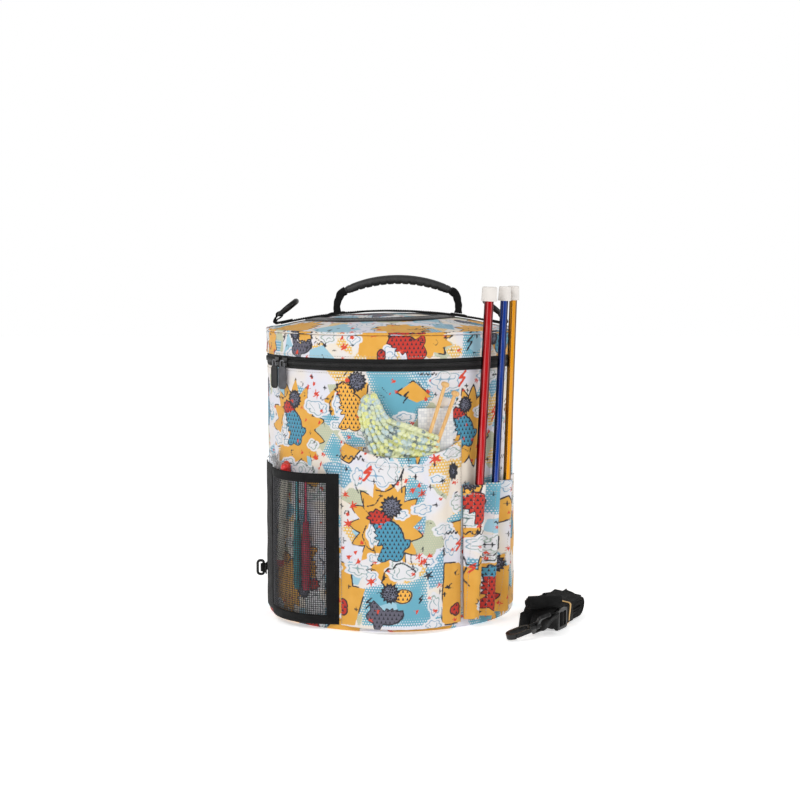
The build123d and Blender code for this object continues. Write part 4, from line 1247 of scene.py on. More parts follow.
def mesh_pocket():
    """Net of thin threads in a wide woven binding, with the plain panel at its side."""
    low, high = (corner[2] for corner in corners("mesh_pocket_binding"))
    first, last = MESH_POCKET
    border, start, end = 10.0, first + 4.5, last - 4.2

    def face(azimuth, grow=0.0):
        return lens_azimuth(MESH_POCKET, MESH_BULGE, azimuth, grow)

    azimuth = np.concatenate([np.linspace(first - 1.2, start, 8), np.linspace(start, end, 40)[1:],
                              np.linspace(end, last + 1.0, 8)[1:]])
    height = np.concatenate([np.linspace(low, low + border, 9), np.linspace(low + border, high - border, 70)[1:],
                             np.linspace(high - border, high, 9)[1:]])
    az, z = np.meshgrid(azimuth, height)
    r = np.maximum(face(az, 0.4), POCKET_BACK + 0.8)
    r = r + 0.35 * ripple(np.radians(az) * BAG_R, z, 40, 41) + 0.2
    keep = np.ones((len(height) - 1, len(azimuth) - 1), bool)
    keep[8:-8, 7:-7] = False
    edge = np.minimum.reduce([np.abs(z - low), np.abs(z - high), np.abs(z - low - border), np.abs(z - high + border)])
    soft = 0.4 * np.exp(-edge / 0.7)
    frame_strip = plate(on_wall(r - soft, az, z), on_wall(r - 1.7, az, z), keep)[:2]
    az = np.linspace(first, last, 40)
    outer = np.maximum(face(az, -0.8), POCKET_BACK + 0.1)
    rim = np.stack([on_wall(outer, az, low + 0.1), on_wall(POCKET_BACK, az, low + 0.1)])
    strips = join([frame_strip, plate(rim + 1.3 * UP, rim)[:2]])
    add_piece("net_pocket_binding", *strips, BINDING, "bag", "binding", ["mesh_pocket_binding"])

    threads, thick = [], 0.37
    columns = np.linspace(start - 0.2, end + 0.2, 40)
    rows = np.linspace(low + border - 0.6, high - border + 0.6, 62)
    for k, at in enumerate(columns):
        wave = 0.16 * np.cos(np.arange(len(rows)) * math.pi + k * math.pi)
        slack = 0.12 * ripple(rows, k * 3.0, 24, 43)
        path = on_wall(face(at + slack) - 0.5 + wave, at + slack, rows)
        threads.append(tube(path, thick, 4, np.array((1.0, 0.2, 0.0))))
    for k, h in enumerate(rows):
        wave = -0.16 * np.cos(np.arange(len(columns)) * math.pi + k * math.pi)
        lift = 0.25 * ripple(columns, k * 3.0, 24, 44)
        threads.append(tube(on_wall(face(columns) - 0.5 + wave, columns, h + lift), thick, 4))
    add_piece("net_pocket_threads", *join(threads), NET, "bag", "net", ["mesh_pocket_net"])

    az, z = np.meshgrid(np.linspace(-87, -68.6, 30), np.linspace(low, high, 90))
    r = POCKET_BACK + 1.3 + 0.25 * ripple(np.radians(az) * BAG_R, z * 0.5, 18, 45)
    points, faces, _ = plate(on_wall(r, az, z), on_wall(POCKET_BACK + 0.05, az, z))
    add_piece("net_pocket_side_panel", points, faces, BLACK_CLOTH, "bag", "black_cloth", ["mesh_pocket_side"])
    lines = []
    for inset in (1.6, 8.4):
        left, right, foot, top = first + inset * 0.45, last - inset * 0.42, low + inset, high - inset
        for at in (left, right):
            lines.append(on_wall(face(np.full(60, at), 0.75), at, np.linspace(foot, top, 60)))
        across = np.linspace(left, right, 40)
        for h in (foot, top):
            lines.append(on_wall(face(across, 0.75), across, h))
    return lines


pale_lines = front_pocket() + needle_pocket()
black_lines = mesh_pocket()
around = np.linspace(-180, 180, 400)
pale_lines += [on_wall(BAG_R + 0.1, around, SEAM_Z + 2.5), on_wall(BAG_R + 0.1, around, WALL_TOP - 2.6)]
sew("pale_stitching_on_bag", pale_lines, PALE_THREAD, "bag", "print_fabric")
sew("black_stitching_on_bag", black_lines, THREAD, "bag", "binding")
lid_seams = [on_wall(LID_R + 0.1, around, LID_BOTTOM + 2.4), on_wall(137.4, around, dome(137.4, 0) + 0.15)]
sew("pale_stitching_on_lid", lid_seams, PALE_THREAD, "lid", "print_fabric")


# ---------------------------------------------------------------- linings, bottom and zip tapes


def soft_hoop(low, high, outer, thick, sag, rows, seed):
    """Points and faces of a plain cloth hoop whose inner face hangs in soft folds."""
    columns = 300
    height = np.concatenate([[low, high], np.linspace(high, low, rows)])
    az, z = np.meshgrid(turns(columns), height)
    fold = 0.5 + 0.5 * ripple(np.radians(az) * outer, z * 0.3, 26, seed, TAU * outer)
    r = outer - thick - sag * fold * np.clip(np.minimum(z - low, high - z) / 10, 0, 1)
    r[:2] = outer
    return on_wall(r, az, z).reshape(-1, 3), closed_faces(len(height), columns)


def soft_disc(low, high, radius, under, over, seed):
    """Points and faces of a round cloth that puckers under and over by those depths."""
    columns = 240
    run = np.linspace(0.05, radius - 0.5, 46)
    radii = np.concatenate([run, (radius, radius), run[::-1]])
    level = np.concatenate([0 * run + low, (low + 0.4, high - 0.4), 0 * run + high])
    az, r = np.meshgrid(turns(columns), radii)
    x, y = on_disc(r, az)
    fade = np.clip((radius - r) / 9, 0, 1)
    swell = 0.5 + 0.5 * ripple(x, y, 44, seed)
    depth = np.where(np.arange(len(radii))[:, None] < len(run), under, -over)
    points = np.stack([x, y, level[:, None] + fade * swell * depth], -1).reshape(-1, 3)
    return points, closed_faces(len(radii), columns)


def linings():
    """Grey lining of bag and lid, the black bottom cloth and both zip tapes."""
    def add(name, parts, material, body, slot, node):
        add_piece(name, *join(parts), material, body, slot, [node])

    low, high = corners("side_lining")
    hoop = soft_hoop(low[2], high[2], high[0], 0.5, 1.2, 70, 101)
    add("bag_side_lining", [hoop], LINING, "bag", "lining_cloth", "side_lining")
    low, high = corners("base_lining")
    disc = soft_disc(low[2], high[2], high[0] - 1.6, 0.0, 0.5, 102)
    add("bag_base_lining", [disc], LINING, "bag", "lining_cloth", "base_lining")
    low, high = corners("base_panel")
    disc = soft_disc(low[2] + 0.1, high[2], high[0], 0.5, 0.0, 103)
    add("bag_bottom_cloth", [disc], BLACK_CLOTH, "bag", "black_cloth", "base_panel")
    low, high = corners("lid_lining")
    hoop = soft_hoop(low[2], high[2] - 1.4, high[0], 0.5, 0.7, 16, 104)
    crown = soft_disc(high[2] - 1.1, high[2], high[0], -1.4, 0.0, 105)
    add("lid_cloth_lining", [hoop, crown], LINING, "lid", "lining_cloth", "lid_lining")
    for name, body in (("lower", "bag"), ("upper", "lid")):
        low, high = corners(f"zip_tape_{name}")
        hoop = soft_hoop(low[2], high[2], high[0], 0.8, 0.15, 9, 106)
        add(f"woven_tape_{name}", [hoop], ZIP_TAPE, body, "zip_tape", f"zip_tape_{name}")


def ring_tab():
    """Webbing folded round the low ring's bar and sewn to a patch on the wall."""
    (left, right), (low, high) = (-98, -82), (36.2, 49.8)
    az, z = np.meshgrid(np.linspace(left, right, 24), np.linspace(low, high, 16))
    edge = np.minimum.reduce([az - left, right - az, (z - low) / 2, (high - z) / 2])
    r = BAG_R + 1.0 - 0.5 * np.exp(-edge * 2) + 0.08 * ripple(az * 2.5, z, 7, 107)
    sewn = plate(on_wall(r, az, z), on_wall(BAG_R + 0.1, az, z))[:2]
    half = [(-141.9, 17.6), (-142.9, 12), (-143.4, 5), (-144.4, 2.9), (-147.2, 3.2), (-149.5, 1.5)]
    round_bar = half + [(x, -y) for x, y in half[::-1]]
    loop = smooth_path([(x, y, LOW_RING_Z) for x, y in round_bar], 0.7)
    tab = join([sewn, ribbon(loop, UP, 9.0, 1.1)])
    add_piece("low_ring_loop", *tab, WEBBING, "bag", "webbing", ["lower_ring_tab"])
    lines = []
    for sign in (-1, 1):
        box = np.array(((4.5, 38.6), (15, 38.6), (15, 47.4), (4.5, 47.4), (4.5, 38.6), (15, 47.4)))
        at = np.degrees(np.arcsin(sign * box[:, 0] / 144.2)) - 90
        lines.append(on_wall(144.25, at, box[:, 1]))
    sew("low_ring_stitching", lines, THREAD, "bag", "webbing", pitch=2.2, length=1.5, radius=0.2)


linings()


# ---------------------------------------------------------------- zip


def zip_rows():
    """Moulded coil: hooked teeth of both rows, a half pitch apart, meshing on the centre line."""
    count = 560
    steps, proud, thick = np.array(  # a tooth from tape to hook: height, stand-off and radius
        ((2.35, 1.9, 0.6, -0.15, -0.5), (0.25, 0.75, 0.85, 0.8, 0.35), (0.35, 0.5, 0.45, 0.55, 0.3)))
    for name, body, sign, shift in (("lower", "bag", -1, 0.0), ("upper", "lid", 1, 0.5)):
        parts = []
        for k in range(count):
            azimuth = (k + shift) * 360 / count - 180
            aside = np.array((math.cos(math.radians(azimuth)), math.sin(math.radians(azimuth)), 0.0))
            parts.append(tube(on_wall(BAG_R + proud, azimuth, ZIP_Z + steps * sign), thick, 5, aside))
        add_piece(f"zip_coil_{name}", *join(parts), TEETH, body, "zip_teeth", [f"zip_teeth_{name}"])
        lines = [on_wall(BAG_R + 0.1, around, ZIP_Z + sign * 4.6)]
        sew(f"zip_stitching_{name}", lines, THREAD, body, "zip_tape", pitch=2.6, length=1.9, radius=0.25)


zip_rows()


# ---------------------------------------------------------------- lid furniture


def lid_strap():
    """Webbing sewn across the crown, folded round a ring at each end, with a pad under each handle leg."""
    width = corners("lid_webbing")[1][1] * 2
    x = np.linspace(-124, 124, 90)
    wave = 0.25 * ripple(x, 0 * x, 30, 51)
    parts = [ribbon(np.stack([x, 0 * x, dome(x, 0) + 2.0 + wave], 1), (0, 1, 0), width, 1.6)]
    for side in (-1, 1):
        loop = arc((0, 0, 0), 3.4, 215, -10, 16) * (-side, 1, 1) + RING_BAR * (side, 1, 1)
        foot = [(112.0, dome(112, 0) + 3.4), (126, dome(126, 0) + 3.4), (131.5, dome(131, 0) + 4), (132.6, 326.0),
                (131.0, 330.0)]
        back = [(125.4, 329.9), (129.3, 328.4), (131.0, 325.2), (129.6, 322.8), (121, dome(121, 0) + 3.2)]
        foot, back = ([(x * side, 0, z) for x, z in run] for run in (foot, back))
        path = smooth_path(foot + [tuple(p) for p in loop[::3]] + back, 1.0)
        parts.append(ribbon(path, (0, 1, 0), width - 1.5, 1.5))
    for x in LEG_FEET:
        spots = np.linspace(x - 9, x + 9, 12)
        parts.append(ribbon(np.stack([spots, 0 * spots, dome(spots, 0) + 3.0], 1), (0, 1, 0), 20, 1.5))
    add_piece("lid_webbing_strap", *join(parts), WEBBING, "lid", "webbing", ["lid_webbing"])
    x = np.linspace(-120, 120, 90)
    edges = [np.stack([x, 0 * x + y, dome(x, 0) + 2.95], 1) for y in (1.8 - width / 2, width / 2 - 1.8)]
    for x in LEG_FEET:
        box = np.array(((-7, -8), (7, -8), (7, 8), (-7, 8), (-7, -8), (7, 8), (7, -8), (-7, 8))) + (x, 0)
        edges.append(np.stack([box[:, 0], box[:, 1], dome(box[:, 0], box[:, 1]) + 3.95], 1))
    sew("black_stitching_on_lid", edges, THREAD, "lid", "webbing", pitch=2.6, length=1.8, radius=0.25)


def crown_ring():
    """Satin tape sewn round in a ring, slightly puckered between its edge stitches."""
    left, right = (corner[0] for corner in corners("lid_bound_ring"))
    cx, outer, inner = (left + right) / 2, (right - left) / 2, 67.0
    across = np.array((0.0, 0.6, 2.0, 3.0, 6.0, 9.0, 12.0, 15.0, 16.0, 17.4, 18.0, 17.6, 9.0, 0.4)) / 18
    up = np.array((0.3, 1.0, 1.25, 0.95, 1.1, 1.15, 1.1, 0.95, 1.25, 1.0, 0.3, 0.1, 0.1, 0.1))
    columns = 360
    az, w = np.meshgrid(turns(columns), across)
    height = np.repeat(up[:, None], columns, 1)
    pucker = 0.14 * np.sin(np.radians(az) * 96 + 3 * ripple(az, w, 40, 52)) * (height > 0.9)
    x, y = on_disc(outer - w * (outer - inner), az)
    x = x + cx
    points = np.stack([x, y, dome(x, y) + height + pucker + 0.25 * (height > 0.2)], -1)
    faces = closed_faces(len(across), columns)
    add_piece("satin_ring", points, faces, SATIN, "lid", "satin_binding", ["lid_bound_ring"])
    lines = []
    for r in (outer - 3.0, inner + 3.0):
        turn = np.linspace(0, TAU, 300)
        x, y = cx + r * np.sin(turn), -r * np.cos(turn)
        lines.append(np.stack([x, y, dome(x, y) + 1.35], 1))
    sew("satin_ring_stitching", lines, THREAD, "lid", "satin_binding", pitch=2.8, length=2.0, radius=0.22)


def handle():
    """Moulded grip with finger notches below, and folded webbing legs down to the lid."""
    left, right = GRIP_ENDS
    rise, half = 13.5, (right - left) / 2
    radius = (half**2 + rise**2) / (2 * rise)
    cx, cz = (left + right) / 2, 373.5 - radius
    sweep = math.asin(half / radius)
    angles, share = np.linspace(-sweep, sweep, 190), np.linspace(-1, 1, 190)
    ring = np.arange(20) * TAU / 20
    notch = np.abs(np.sin(share * 15 * math.pi / 2)) ** 14 * (np.abs(share) < 0.74)
    body = 1 - 0.22 * np.abs(share) ** 4 - 0.1 * (np.abs(share) > 0.93)
    sections = []
    for turn, t, cut, size in zip(angles, share, notch, body):
        out = np.array((math.sin(turn), 0.0, math.cos(turn)))
        middle = np.array((cx, 0, cz)) + radius * out
        y = 9.2 * size * np.sign(np.cos(ring)) * np.abs(np.cos(ring)) ** 0.85
        z = 5.2 * size * np.sign(np.sin(ring)) * np.abs(np.sin(ring)) ** 0.8
        z = z + 1.1 * cut * (np.sin(ring) < -0.2) - 0.35 * (np.abs(np.abs(t) - 0.86) < 0.012)
        sections.append(middle + y[:, None] * np.array((0, 1, 0)) + z[:, None] * out)
    add_piece("moulded_grip", *loft(sections), RUBBER, "handle", "grip_rubber", ["handle_grip"])
    parts = []
    for foot, top, side in zip(LEG_FEET, GRIP_ENDS, (-1, 1)):
        turn = side * sweep
        out = np.array((math.sin(turn), 0.0, math.cos(turn)))
        along = np.array((math.cos(turn), 0.0, -math.sin(turn))) * -side
        end = np.array((top, 0.0, 360.0))
        spots = [(foot - 0.5 * side, 0, 335.6), (foot + 0.3 * side, 0, 342), (foot - 0.5 * side, 0, 348),
                 tuple(end - along * 8 - out * 4.4), tuple(end - along * 3.6), tuple(end + along * 2)]
        path = smooth_path(spots, 1.0)
        share = np.linspace(0, 1, len(path))
        ring = outline_ring(1.0, 1.0, 0.5, 28)
        side_way = unit(np.cross(directions(path, False), (0, 1, 0)))
        deep = np.interp(share, (0, 0.12, 0.45, 0.75, 0.9, 1), (4.4, 3.8, 4.0, 4.6, 4.9, 4.7))
        wide = np.interp(share, (0, 0.2, 0.7, 1), (7.6, 6.6, 7.0, 8.6))
        fold = 0.2 * np.sin(share[:, None] * 22 + ring[None, :, 0] * 2.2 * side)
        skin = (path[:, None] + (deep[:, None] * ring[None, :, 0] + fold)[..., None] * side_way[:, None]
                + (wide[:, None] * ring[None, :, 1])[..., None] * np.array((0, 1, 0)))
        parts.append(loft(skin))
    legs = add_piece("handle_webbing_legs", *join(parts), WEBBING, None, "webbing", ["handle_webbing"])
    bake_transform(legs)


def lid_ring(name, side):
    """Moulded D ring: a thin bar inside its webbing loop and a heavy round bow."""
    bar, half, reach = RING_BAR * (side, 1, 1), 15.0, 24.0
    away = np.array((-0.779 * side, 0.0, 0.628))
    turn = np.radians(np.linspace(-90, 90, 40))
    bow = np.stack([half * np.sin(turn), reach - 13 + 13 * np.cos(turn) ** 0.8], 1)
    straight = [(half, 3.5), (half - 2.4, 0.3), (4, 0.0), (-4, 0.0), (2.4 - half, 0.3)]
    path = np.concatenate([[(-half, 3.5)], bow, straight])
    radius = np.interp(path[:, 1], (0.3, 5.5), (1.95, 3.3))
    spots = bar + path[:, :1] * np.array((0, 1, 0)) + path[:, 1:] * away
    ring = tube(spots, radius, 14, np.cross(away, (0, 1, 0)), True)
    add_piece(f"moulded_ring_{name}", *ring, PLASTIC, f"ring_{name}", "black_plastic", [f"d_ring_{name}"])


ring_tab()
lid_strap()
crown_ring()
handle()
lid_ring("left", -1)
lid_ring("right", 1)


# ---------------------------------------------------------------- cloth hinge


def cloth_hinge():
    """Printed strip behind the bag that holds the lid on between the ends of the zip."""
    height = np.linspace(corners("hinge_panel")[0][2], LID_BOTTOM + 12, 44)
    az, z = np.meshgrid(np.linspace(155, 205, 60), height)
    bulge = 0.9 * np.exp(-(((z - ZIP_Z) / 7) ** 2))
    r = BAG_R + 1.35 + bulge * 0.8 + 0.15 * ripple(az * 2.4, z, 20, 61)
    r[:, [0, -1]] -= 0.7
    points, faces, used = plate(on_wall(r, az, z), on_wall(r - 0.9, az, z))
    piece = add_piece("printed_cloth_hinge", points, faces, PRINT, None, "print_fabric", ["hinge_panel"])
    ink(piece, WALL_PRINT, (np.radians(az) * BAG_R).ravel()[used], z.ravel()[used] - 60, PERIOD)
    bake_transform(piece)


cloth_hinge()


# ---------------------------------------------------------------- zip pulls


def zip_pull(name, azimuth, swing, body, slot, material):
    """Rubber tab with a raised rim and a sunk middle, and its wire loop."""
    low, high = corners(f"pull_tab_{name}")
    middle = on_wall(BAG_R + 5.6, azimuth, (low[2] + high[2]) / 2)
    right = on_wall(1.0, azimuth + 90 + swing)
    out = on_wall(1.0, azimuth + swing)
    half_h = (high[2] - low[2]) / 2
    rings = []
    for inset, height in ((0.5, -1.2), (0.0, -0.7), (0.0, 0.6), (0.4, 1.15), (1.3, 1.2), (1.7, 0.65), (3.0, 0.7)):
        ring = outline_ring(5.0 - inset, half_h - inset, max(0.6, 4.0 - inset))
        rings.append(middle + ring[:, :1] * right + ring[:, 1:] * UP + height * out)
    add_piece(f"pull_grip_{name}", *loft(np.array(rings)[:, ::-1]), material, body, slot, [f"pull_tab_{name}"])
    top = corners(f"pull_link_{name}")[1][2]
    half = [(2.6, -2.5, 0), (2.7, 1, 0), (2.6, 4.4, 0.3), (1.6, 6.4, 0.4)]
    path = [(-a, b, c) for a, b, c in half] + [(0, 6.9, 0.4)] + half[::-1]
    wire = [middle + a * right + min(half_h + b, top - middle[2] - 0.5) * UP + c * out for a, b, c in path]
    wire = tube(smooth_path(wire, 0.6), 0.62, 8, tuple(out))
    add_piece(f"pull_wire_{name}", *wire, ZIP_METAL, body, "zip_metal", [f"pull_link_{name}"])


zip_pull("left", -60.5, 16, "pull_left", "pull_black", PULL_RUBBER)
zip_pull("right", -53.5, 24, "pull_right", "pull_grey", GREY_RUBBER)


# ---------------------------------------------------------------- knitting and yarn


def knitting():
    """Chunky knitted strip: rows of interlocked loops of lumpy yarn that follow its curved edge."""
    top, low = (smooth_path([(x, 0, z) for x, z in edge], 1.0) for edge in (
        ((-17, 255.5), (-12, 247), (-8, 236), (1, 226), (18, 223), (38, 214), (52, 208)),
        ((-26, 253), (-32, 243), (-30, 224), (-24, 205), (-14, 176), (20, 168), (52, 172))))
    loops, rows, sides = 19, 6, 8
    parts, dye = [], []
    rng = np.random.default_rng(71)
    for row in range(rows + 1):
        t = np.linspace(0, loops, loops * 14)
        wave = TAU * t
        s = (t + 0.2 * np.sin(2 * wave)) / loops
        w = (row + 0.55 - 0.62 * np.cos(wave)) / rows
        if row == rows:
            s, w = t / loops, 0.02 + 0.02 * np.cos(wave * 2)
        s, w = np.clip(s, 0, 1), np.clip(w, -0.02, 1)
        upper, lower = (np.stack([np.interp(s, np.linspace(0, 1, len(edge)), edge[:, k]) for k in (0, 2)], 1)
                        for edge in (top, low))
        place = upper * (1 - w[:, None]) + lower * w[:, None]
        if row == rows:
            place[:, 1] += 0.8
        lump = 0.7 * ripple(t * 4, row * 31.0, 5, 72)
        x = place[:, 0] + 0.5 * ripple(t * 4, row * 17.0, 4, 73)
        room = lens_azimuth(FRONT_POCKET, FRONT_BULGE, np.degrees(np.arcsin(x / 150)), -5.2)
        depth = np.minimum(148.8, room) + 2.1 * np.cos(2 * wave) + lump * (place[:, 1] > 200)
        y = -np.sqrt(np.clip(depth**2 - x**2, 1, None))
        radius = 2.25 + 0.55 * ripple(t * 4, row * 11.0, 2.5, 74) + rng.uniform(-0.15, 0.15, len(t))
        path = np.stack([x, y, place[:, 1] + 0.4 * lump], 1)
        parts.append(tube(path, radius, sides, np.array((0.13, -1, 0.2))))
        tone = 0.5 + 0.5 * ripple(t * 4, row * 23.0, 22, 75) + np.clip(x, -25, 50) * 0.004 - 0.04
        dye.append(np.repeat(tone if row < rows else 0.8 + 0.2 * tone, sides))
    piece = add_piece("chunky_knitting", *join(parts), YARN, "knitting", "knit_yarn", ["knitted_piece"])
    stored = piece.data.attributes.new("dye", "FLOAT", "POINT")
    stored.data.foreach_set("value", np.concatenate(dye).astype(np.float32))


def yarn_end():
    """Bundle of grey plies standing in the net pocket, frayed at the top."""
    rng = np.random.default_rng(81)
    low, high = corners("yarn_tassel")
    foot, top = on_wall(BAG_R + 3, -58.5, low[2]), on_wall(BAG_R + 5.3, -61, high[2] - 8)
    parts = []
    for _ in range(34):
        turn, r = rng.uniform(0, TAU), rng.uniform(0, 1) ** 0.5
        side = np.array((math.cos(turn), math.sin(turn) * 0.6, 0))
        bend = np.array((rng.uniform(-6, 3), rng.uniform(-5, 1), 0))
        length = rng.uniform(0.86, 1.03)
        tip = foot * (1 - length) + top * length
        spots = [foot + side * 1.4 * r, foot * 0.5 + top * 0.5 + side * 1.8 * r,
                 foot * 0.2 + top * 0.8 + side * 2.4 * r, tip + side * 4.0 * r + bend * 0.5 + 3 * UP,
                 tip + side * 5.5 * r + bend + (8 * rng.uniform(-0.6, 1)) * UP]
        path = smooth_path(spots, 2.0)
        twist = np.arange(len(path))[:, None] * 1.9 + turn
        path = path + 0.22 * np.concatenate([np.cos(twist), np.sin(twist), 0 * twist], 1)
        parts.append(tube(path, 0.52 + 0.1 * np.sin(np.arange(len(path)) * 2.1), 6, np.array((0.2, 1, 0.1))))
    add_piece("frayed_yarn_end", *join(parts), GREY_YARN, "tassel", "grey_yarn", ["yarn_tassel"])


def bamboo_pair():
    """Two single-point bamboo needles with turned knobs."""
    at = (0.0, 0.25, 0.9, 2.0, 3.4, 4.6, 5.3, 5.7, 6.4, 8.5, 12, 40, 90, 150)
    radius = np.array((0.6, 2.4, 3.7, 4.3, 4.5, 4.1, 3.2, 2.3, 1.8, 1.95, 2, 2, 2, 2, 2, 1.5, 0.8, 0.3))
    parts = []
    for knob, tip in (((59, -140.6, 268.3), (-16.1, -143.5, 27.6)), ((70, -135.5, 258.3), (-15.5, -148.2, 21))):
        knob, tip = np.array(knob), np.array(tip)
        run = np.linalg.norm(tip - knob)
        spots = np.array((*at, run - 9, run - 4, run - 1.2, run))
        parts.append(tube(knob + (tip - knob) * (spots / run)[:, None], radius, 18, np.array((0.0, 1.0, 0.0))))
    add_piece("bamboo_single_points", *join(parts), BAMBOO, "knitting", "bamboo", ["bamboo_needles"])


knitting()
bamboo_pair()
yarn_end()


# ---------------------------------------------------------------- folded shoulder strap


def in_hank(along, wide, high=0.0):
    """A place in the hank: along it, over its width and through its layers."""
    over = math.cos(HANK_LEAN) * HANK_ACROSS - math.sin(HANK_LEAN) * UP
    through = math.cos(HANK_LEAN) * UP + math.sin(HANK_LEAN) * HANK_ACROSS
    return HANK_CENTRE + along * HANK_DIRECTION + wide * over + high * through


def hook_end(origin, direction, tilt, route):
    """Webbing round the outer bar of a snap hook's eye, then twisting upright along a route."""
    origin, direction = np.array(origin), unit(np.array(direction))
    level = unit(np.array((-direction[1], direction[0], 0.0)))
    bar = math.cos(math.radians(tilt)) * level + math.sin(math.radians(tilt)) * np.cross(direction, level)
    middle, back = origin - 9.25 * direction, -direction
    up = np.cross(bar, back)
    wrap = [(12, -1.0), (6, -1.2), (1, -3.4), (-3.5, -3.4), (-3.5, 3.4), (1, 3.4), (6, 1.2)]
    path = smooth_path([tuple(middle + a * back + b * up) for a, b in wrap] + route, 1.0)
    run = np.append(0, np.cumsum(np.linalg.norm(np.diff(path, axis=0), axis=1)))
    twist = np.clip((run - 30) / 18, 0, 1)[:, None]
    return path, (1 - twist) * bar + twist * UP, np.interp(run, (30, 46), (27.0, 19.0))


def hank_coil(half_run=34.0, wraps=4.85, outside=11.1, shrink=2.05):
    """Flat turns from the outside in; they swell at the far end and sag a little on top."""
    coil = []
    for share in np.linspace(0, wraps, int(wraps * 56)):
        r = outside - shrink * share
        leg, within = int((share % 1) * 4), ((share % 1) * 4) % 1
        slack = 1.2 * math.sin(share * 5.1) * (share > 0.7)
        if leg % 2 == 0:
            sign = 1 - leg
            along, high = sign * (half_run - 2 * half_run * within), sign * r
        else:
            sign = leg - 2
            along = sign * (half_run + (r - sign * slack) * math.sin(math.pi * within))
            high = -sign * r * math.cos(math.pi * within)
        far = np.clip(0.5 + 0.5 * along / half_run, 0, 1) ** 2
        sag = 0.8 * math.sin(math.pi * (along / half_run + 1) / 2) * (high > 0)
        coil.append(in_hank(along - 7, 0.3 * math.sin(share * 9), high * (1 + 0.11 * far) + 1.2 * far - sag))
    return resample(coil, 2.0)


def rolled_fold(count=90):
    """Spiral roll lying on the near end of the hank, and its axis."""
    axis, back = np.array((0.970, 0.242, 0.0)), np.array((-0.242, 0.970, 0.0))
    turn = np.linspace(-0.5 * math.pi, 5.2 * math.pi, count)[:, None]
    r = np.linspace(7.4, 2.0, count)[:, None]
    middle = np.array((164.0, -132.5, 31.2)) + np.linspace(2.5, -3, count)[:, None] * axis
    return middle + r * np.cos(turn) * back + r * np.sin(turn) * UP, axis


def strap():
    """Webbing folded flat into a hank, with a rolled fold on top and a tail to each hook."""
    thick, side = 1.45, 17.45
    coil, (roll, roll_axis) = hank_coil(), rolled_fold()
    front = hook_end(FRONT_HOOK, (-0.887, -0.385, -0.253), 40, [
        (175.5, -153.5, 15.5), (179.5, -146.5, 12.5), tuple(in_hank(-46, side + 0.6, -1)),
        tuple(in_hank(-30, side - 0.1)), tuple(in_hank(4, side - 0.1))])
    rear = hook_end(REAR_HOOK, (-0.484, -0.838, -0.253), 12, [
        (193, -18.5, 14.5), (200.5, -19.5, 11), (207, -28, 10.3), (208.5, -40, 10.3), (206.5, -50, 10.8),
        (203.5, -56.5, 11.5)])
    fold = smooth_path([(147.7, -113.8, 11), (142.8, -121.0, 10.5), (138.4, -128.5, 10.2), (141.8, -133.6, 10.2),
                        (148.0, -131.8, 10.5), (150.5, -129, 11)], 1.2)
    inner = smooth_path([(150.5, -114.0, 12), (145.8, -121.0, 11.5), (142.6, -127.2, 11.2), (144.4, -130.2, 11.2),
                         (148.4, -128.4, 11.5)], 1.2)
    bight = smooth_path([(150.0, -138.5, 9.5), (154.5, -141.5, 8.6), (158.5, -140.0, 9.4), (158.0, -135.5, 10),
                         (154.0, -133.0, 10)], 1.2)
    buckle_turn = ((-36, 18.0), (-34.6, 20.6), (-31, 22.6), (-27.4, 20.6), (-26, 18.0))
    across_bar = smooth_path([tuple(in_hank(a, w)) for a, w in buckle_turn], 0.8)
    over = in_hank(0, 1) - in_hank(0, 0)
    runs = ((coil, over, 32.5), front, rear, (roll, roll_axis, 36.0), (fold, (0.12, 0.05, 1.0), 16.0),
            (inner, (-0.06, 0.1, 1.0), 15.0), (bight, (0.1, -0.25, 1.0), 15.0), (across_bar, UP, 15.0))
    parts = [ribbon(*run, thick) for run in runs]
    piece = add_piece("folded_shoulder_strap", *join(parts), WEBBING, "strap", "webbing", ["strap_webbing"])
    band = outline_ring(17.9, 11.9, 3.5, 56)
    place = [in_hank(-6 + 0.6 * math.sin(k * 0.22), a + 0.55, b + 0.1) for k, (a, b) in enumerate(band)]
    band = ribbon(np.array(place), HANK_DIRECTION, 2.4, 0.9, closed=True)
    add_piece("stretched_rubber_band", *band, TAN_RUBBER, "strap", "tan_rubber", ["rubber_band"])


# ---------------------------------------------------------------- finishes of the CAD nodes

FINISH = (
    (BOARD, ("base_board",)),
    (PLASTIC, ("d_ring_lower", "strap_slider", "snap_hook_eyes", "snap_hook_front", "snap_hook_rear",
               "snap_gate_front", "snap_gate_rear")),
    (SLIDER, ("zip_slider_left", "zip_slider_right")),
    (RED_METAL, ("needle_red",)),
    (BLUE_METAL, ("needle_blue",)),
    (GOLD_METAL, ("needle_gold",)),
    (CAP, ("needle_cap_red", "needle_cap_blue", "needle_cap_gold")),
    (CARD, ("pattern_card",)),
    (TEAL_GRIP, ("hook_grip_teal",)),
    (CRIMSON_GRIP, ("hook_grip_crimson",)),
    (TEAL_METAL, ("hook_shank_teal",)),
    (CRIMSON_METAL, ("hook_shank_crimson",)),
    (CREAM, ("needle_case",)),
    (RED_PLASTIC, ("needle_case_caps",)),
)
for finish, nodes in FINISH:
    for node in nodes:
        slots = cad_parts[node].data.materials
        slots.clear()
        slots.append(finish)


# ---------------------------------------------------------------- stage, light and camera


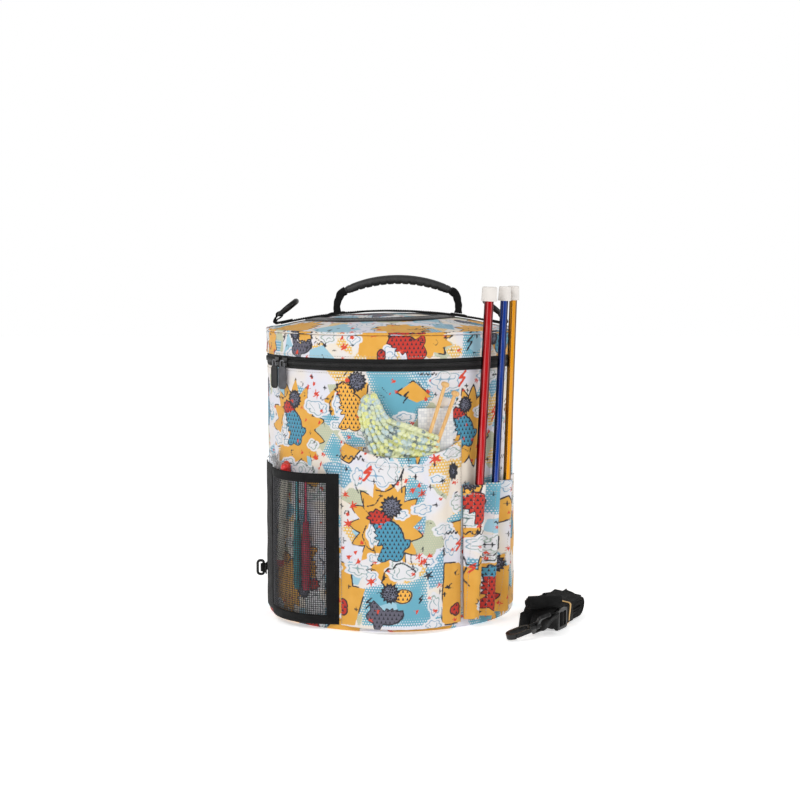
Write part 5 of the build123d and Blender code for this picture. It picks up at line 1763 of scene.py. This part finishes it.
def white_world():
    """White surroundings, brighter below the horizon than above."""
    world = bpy.data.worlds.new("white_studio")
    bpy.context.scene.world = world
    world.use_nodes = True
    tree = world.node_tree
    sky = tree.nodes["Background"]
    sky.inputs["Color"].default_value = (1.0, 1.0, 1.0, 1.0)
    way = tree.nodes.new("ShaderNodeTexCoord")
    parts = tree.nodes.new("ShaderNodeSeparateXYZ")
    fade = tree.nodes.new("ShaderNodeMapRange")
    for socket, value in zip(fade.inputs[1:5], (0.15, 0.6, 1.0, 0.5)):
        socket.default_value = value
    tree.links.new(way.outputs["Generated"], parts.inputs[0])
    tree.links.new(parts.outputs["Z"], fade.inputs[0])
    tree.links.new(fade.outputs[0], sky.inputs["Strength"])
    bpy.context.scene.view_settings.view_transform = "Standard"


def add_object(name, data, place):
    """An object of the stage, at a place in metres."""
    holder = bpy.data.objects.new(name, data)
    holder.location = place
    bpy.context.scene.collection.objects.link(holder)
    return holder


def studio():
    """Pale floor, soft light, and the camera in front of the bag."""
    white_world()
    side = 6000.0
    pale = moulded("pale_floor", rgb(245, 245, 245), (0.8, 0.9), 0.2, 0.0,
                   Emission_Color=(1.0, 1.0, 1.0, 1.0), Emission_Strength=0.5)
    square = [(x, y, FLOOR_Z) for x, y in ((-side, -side), (side, -side), (side, side), (-side, side))]
    add_piece("floor", square, [(0, 1, 2, 3)], pale, None)
    for name, place, size, power in (
        ("key_light", (-0.9, -1.3, 1.5), 0.7, 12.0),
        ("fill_light", (1.3, -0.9, 0.9), 0.5, 5.0),
    ):
        lamp = bpy.data.lights.new(name, "AREA")
        lamp.energy, lamp.size = power, size
        holder = add_object(name, lamp, place)
        way = Vector((0, 0, 0.17)) - holder.location
        holder.rotation_euler = way.to_track_quat("-Z", "Y").to_euler()
    camera = bpy.data.cameras.new("camera")
    camera.sensor_width, camera.lens = 36.0, 71.46
    holder = add_object("camera", camera, (0.0106, -1.805, 0.400))
    holder.rotation_euler = (math.radians(90 - 5.18), 0, 0)
    bpy.context.scene.camera = holder


studio()
strap()
